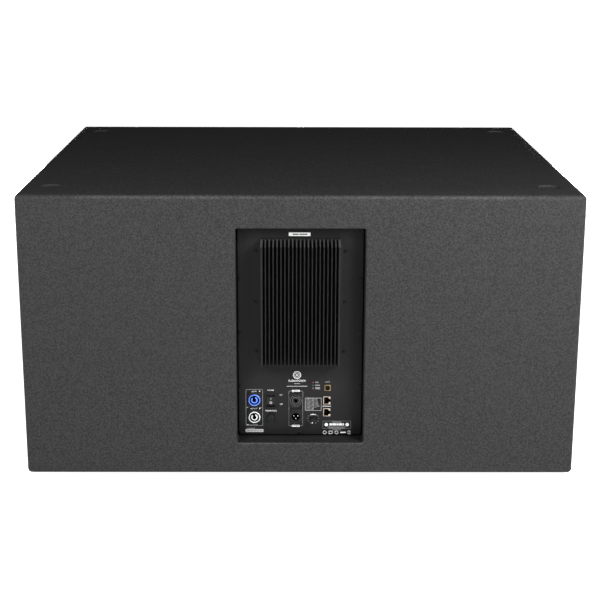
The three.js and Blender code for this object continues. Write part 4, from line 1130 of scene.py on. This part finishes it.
def print_level_scale(piece):
    """Eleven ticks round the level control, and a wedge that swells in its middle."""
    at, reach, band = spot("level_pot"), 0.0106, 0.0094
    tick = flat(rounded(0.0016, 0.0006, 0.0001, 2))
    for degrees in range(240, -61, -30):
        piece.add(tick, SILVER_INK, at, turn("Z", degrees) @ shift((reach, 0)))
    outside, inside = [], []
    for i in range(13):
        angle = radians(45 + 7.5 * i)
        inner = band - 0.0002 - 0.0014 * sin(pi * i / 12)
        outside.append(polar(band, angle))
        inside.append(polar(inner, angle))
    piece.add(flat(outside + inside[::-1]), WHITE_INK, at)


def print_settings_chart(piece, x, y):
    """A framed block of close rows of short bars, which reach less far at the top and the bottom."""
    outline_frame(piece, 0.0317, 0.0262, 0.0004, 0.0006, (x, y), SILVER_INK)
    pitch, gap, start = 0.0022, 0.0006, x - 0.0143
    reaches = (0.0215, 0.0215, 0.022, 0.0225, 0.0235, 0.025, 0.026, 0.0265, 0.02, 0.015, 0.0145)
    for row, reach in enumerate(reaches):
        left, step = start, 0
        while left < start + reach:
            width = min(0.0018 + 0.0011 * ((row * 5 + step * 3) % 4), start + reach - left + gap)
            ink = (MID_PLASTIC, GREY_INK)[step % 2]
            bar(piece, width, 0.0015, left + width / 2, y + 0.0112 - pitch * row, ink)
            left += width + gap
            step += 1


def print_notices(piece, x, y):
    """Blank printed boxes and marks where a maker's notices would be."""
    outline_frame(piece, 0.055, 0.016, 0.001, 0.0005, (x, y))
    for sign in (-1, 1):
        dot(piece, 0.0034, 28, (x + sign * 0.0205, y + 0.0004))
    left = x - 0.0142
    for width in (0.005, 0.0072, 0.0036, 0.0064, 0.003):
        bar(piece, width, 0.0042, left + width / 2, y + 0.0008, WHITE_INK, 0.0004)
        left += width + 0.0008
    bar(piece, 0.018, 0.0018, x, y + 0.0056)
    bar(piece, 0.037, 0.0014, x, y - 0.0044)
    bar(piece, 0.031, 0.0014, x, y - 0.0068)
    bar(piece, 0.017, 0.0014, x, y - 0.0105)
    low = y - 0.0158
    ring(piece, 0.0036, 0.0009, (x - 0.0235, low))
    outline_frame(piece, 0.007, 0.0066, 0.0006, 0.0009, (x - 0.012, low), WHITE_INK)
    ring(piece, 0.0034, 0.0009, (x - 0.0004, low))
    bar(piece, 0.0105, 0.0026, x + 0.0123, low, WHITE_INK, 0.0004)
    outline_frame(piece, 0.0048, 0.0072, 0.0006, 0.0008, (x + 0.0242, low), WHITE_INK)


def build_legends():
    piece = on_plate("printed_legends")
    print_mains(piece)
    x, y = spot("rocker_housing")
    write(piece, "POWER", 0.0036, x, y + 0.0212)
    write(piece, "ON", 0.0034, x + 0.0195, y + 0.0115)
    write(piece, "OFF", 0.0034, x + 0.02, y - 0.0075)
    x, y = spot("fuse_holder")
    write(piece, "MAINS FUSE", 0.0042, x, y + 0.012)
    print_signals(piece)
    print_mark(piece, -0.006, -0.0865)
    x, y = spot("indicator_light_pipe")
    for row, width, height in ((1, 0.0065, 0.0022), (0, 0.0095, 0.0022), (-1, 0.0095, 0.0042)):
        bar(piece, width, height, x + 0.0042 + width / 2, y + row * LIGHT_PITCH, GREY_INK, 0.0005)
    x, y = spot("usb_port")
    write(piece, "DATA", 0.0032, x, y + 0.012, SILVER_INK)
    (x, upper), (_, lower) = (spot(node) for node in ETHERNET)
    write(piece, "NETWORK", 0.0034, x, (upper + lower) / 2)
    print_level_scale(piece)
    print_settings_chart(piece, 0.0257, -0.1465)
    print_notices(piece, 0.072, -0.189)
    piece.done("grey_plastic", smooth=30)


def build_sticker():
    """A blank serial-number sticker above the heat sink."""
    piece = on_plate("blank_sticker")
    x, y = -0.0018, 0.1928
    piece.add(pad(0.041, 0.0068, 0.0006, 0, 0.0002, 0.00005), LABEL, (x, y))
    bar(piece, 0.011, 0.0022, x - 0.0075, y, DARK_INK, tall=0.0003)
    bar(piece, 0.015, 0.0022, x + 0.007, y, DARK_INK, tall=0.0003)
    piece.done("grey_plastic")


# ---------------- CAD nodes that keep their shape


def finish_nodes():
    """Gives each CAD node that stays in view, mostly inside the cabinet, its material."""
    looks = {"front_baffle": PAINT, "amp_gasket": RUBBER, "amp_cover": STEEL}
    looks.update({"power_board": BOARD, "signal_board": BOARD})
    paired = {"port_wall": BIRCH, "woofer_basket": POWDER, "woofer_magnet": FERRITE, "woofer_cone": PAPER}
    paired.update({"dust_cap": PAPER, "surround": RUBBER, "spider": CLOTH, "voice_coil": COPPER})
    paired["speaker_cable"] = SHEATH
    looks.update({f"{name}_{side}": material for side in SIDES for name, material in paired.items()})
    for name, material in looks.items():
        mesh = frame["nodes"][name].data
        mesh.materials.clear()
        mesh.materials.append(material)
        mesh.shade_smooth()
        mesh.set_sharp_from_angle(angle=radians(35))


# ---------------- stage, light and camera

MIDDLE_HEIGHT = 0.28  # of the cabinet
# The camera stands behind the cabinet and a little above it, as the photographer did.
CAMERA_PLACE = Vector((0.015, 2.9714, 1.0432))
CAMERA_YAW, CAMERA_PITCH, CAMERA_ROLL = (radians(a) for a in (0.32, 15.16, 0.16))
CAMERA_LENS = 83.3  # millimetres on a sensor 36 wide


def lamp(name, kind, direction, power, place=(0, 0, 0)):
    data = bpy.data.lights.new(name, kind)
    data.energy = power
    made = into_scene(name, data)
    made.location = place
    made.rotation_mode = "QUATERNION"
    made.rotation_quaternion = direction.to_track_quat("-Z", "Y")
    return made


def area_light(name, place, target, size, power):
    made = lamp(name, "AREA", Vector(target) - Vector(place), power, place)
    made.data.shape = "RECTANGLE"
    made.data.size, made.data.size_y = size
    made.visible_camera = False


def build_stage():
    reach = 45.0
    mesh = bpy.data.meshes.new("floor")
    corners = [(-reach, -reach, 0), (reach, -reach, 0), (reach, reach, 0), (-reach, reach, 0)]
    mesh.from_pydata(corners, [], [(0, 1, 2, 3)])
    glow = {"Emission Color": (1, 1, 1, 1), "Emission Strength": 0.95}
    made = Shader("studio_floor", (0.7, 0.7, 0.7), 0.9, specular=0.1, **glow)
    mesh.materials.append(made.dress(made.mix(made.noise(2.0), (0.69, 0.69, 0.69), (0.71, 0.71, 0.71)), 0.9))
    into_scene("floor", mesh)

    world = bpy.data.worlds.new("studio")
    bpy.context.scene.world = world
    world.use_nodes = True
    background = world.node_tree.nodes["Background"]
    background.inputs["Color"].default_value = (1, 1, 1, 1)
    background.inputs["Strength"].default_value = 0.1

    lamp("key", "SUN", Vector((0, -1.0, -0.1)), 0.8).data.angle = radians(30)
    for name, side, power in (("left_softbox", 1, 22.6), ("right_softbox", -1, 46.5)):
        area_light(name, (side * 0.9, 1.4, 1.1), (0, 0.275, 0.3), (0.7, 0.6), power)
    # The other sides are lit from below the level of the top panel, which they leave dark.
    fills = (("front_fill", 0, -3.2, 130), ("left_fill", -3.6, 0, 80), ("right_fill", 3.6, 0, 80))
    for name, x, y, power in fills:
        area_light(name, (x, y, MIDDLE_HEIGHT), (0, 0, MIDDLE_HEIGHT), (3.0, 0.5), power)
    bpy.context.scene.view_settings.view_transform = "Standard"


def build_camera():
    across, along = sin(CAMERA_YAW), cos(CAMERA_YAW)
    level = cos(CAMERA_PITCH)
    back = Vector((across * level, along * level, sin(CAMERA_PITCH)))
    right = Vector((-along, across, 0))
    up = back.cross(right)
    rolled = right * cos(CAMERA_ROLL) + up * sin(CAMERA_ROLL)
    made = into_scene("camera", bpy.data.cameras.new("camera"))
    made.data.lens, made.data.sensor_width = CAMERA_LENS, 36.0
    turned_to = Matrix((rolled, back.cross(rolled), back)).transposed().to_4x4()
    made.matrix_world = Matrix.Translation(CAMERA_PLACE) @ turned_to
    bpy.context.scene.camera = made


# ---------------- assembly

build_stage()
build_camera()
for build in (
    build_top, build_bottom, build_sides, build_rear, build_grille_screws, build_feet, build_handles,
    build_grille, build_foam, build_plate, build_plate_screws, build_heat_sink, build_mains, build_combo,
    build_link_output, build_ethernet, build_usb, build_indicators, build_rocker, build_fuse, build_level,
    build_legends, build_sticker, finish_nodes,
):
    build()
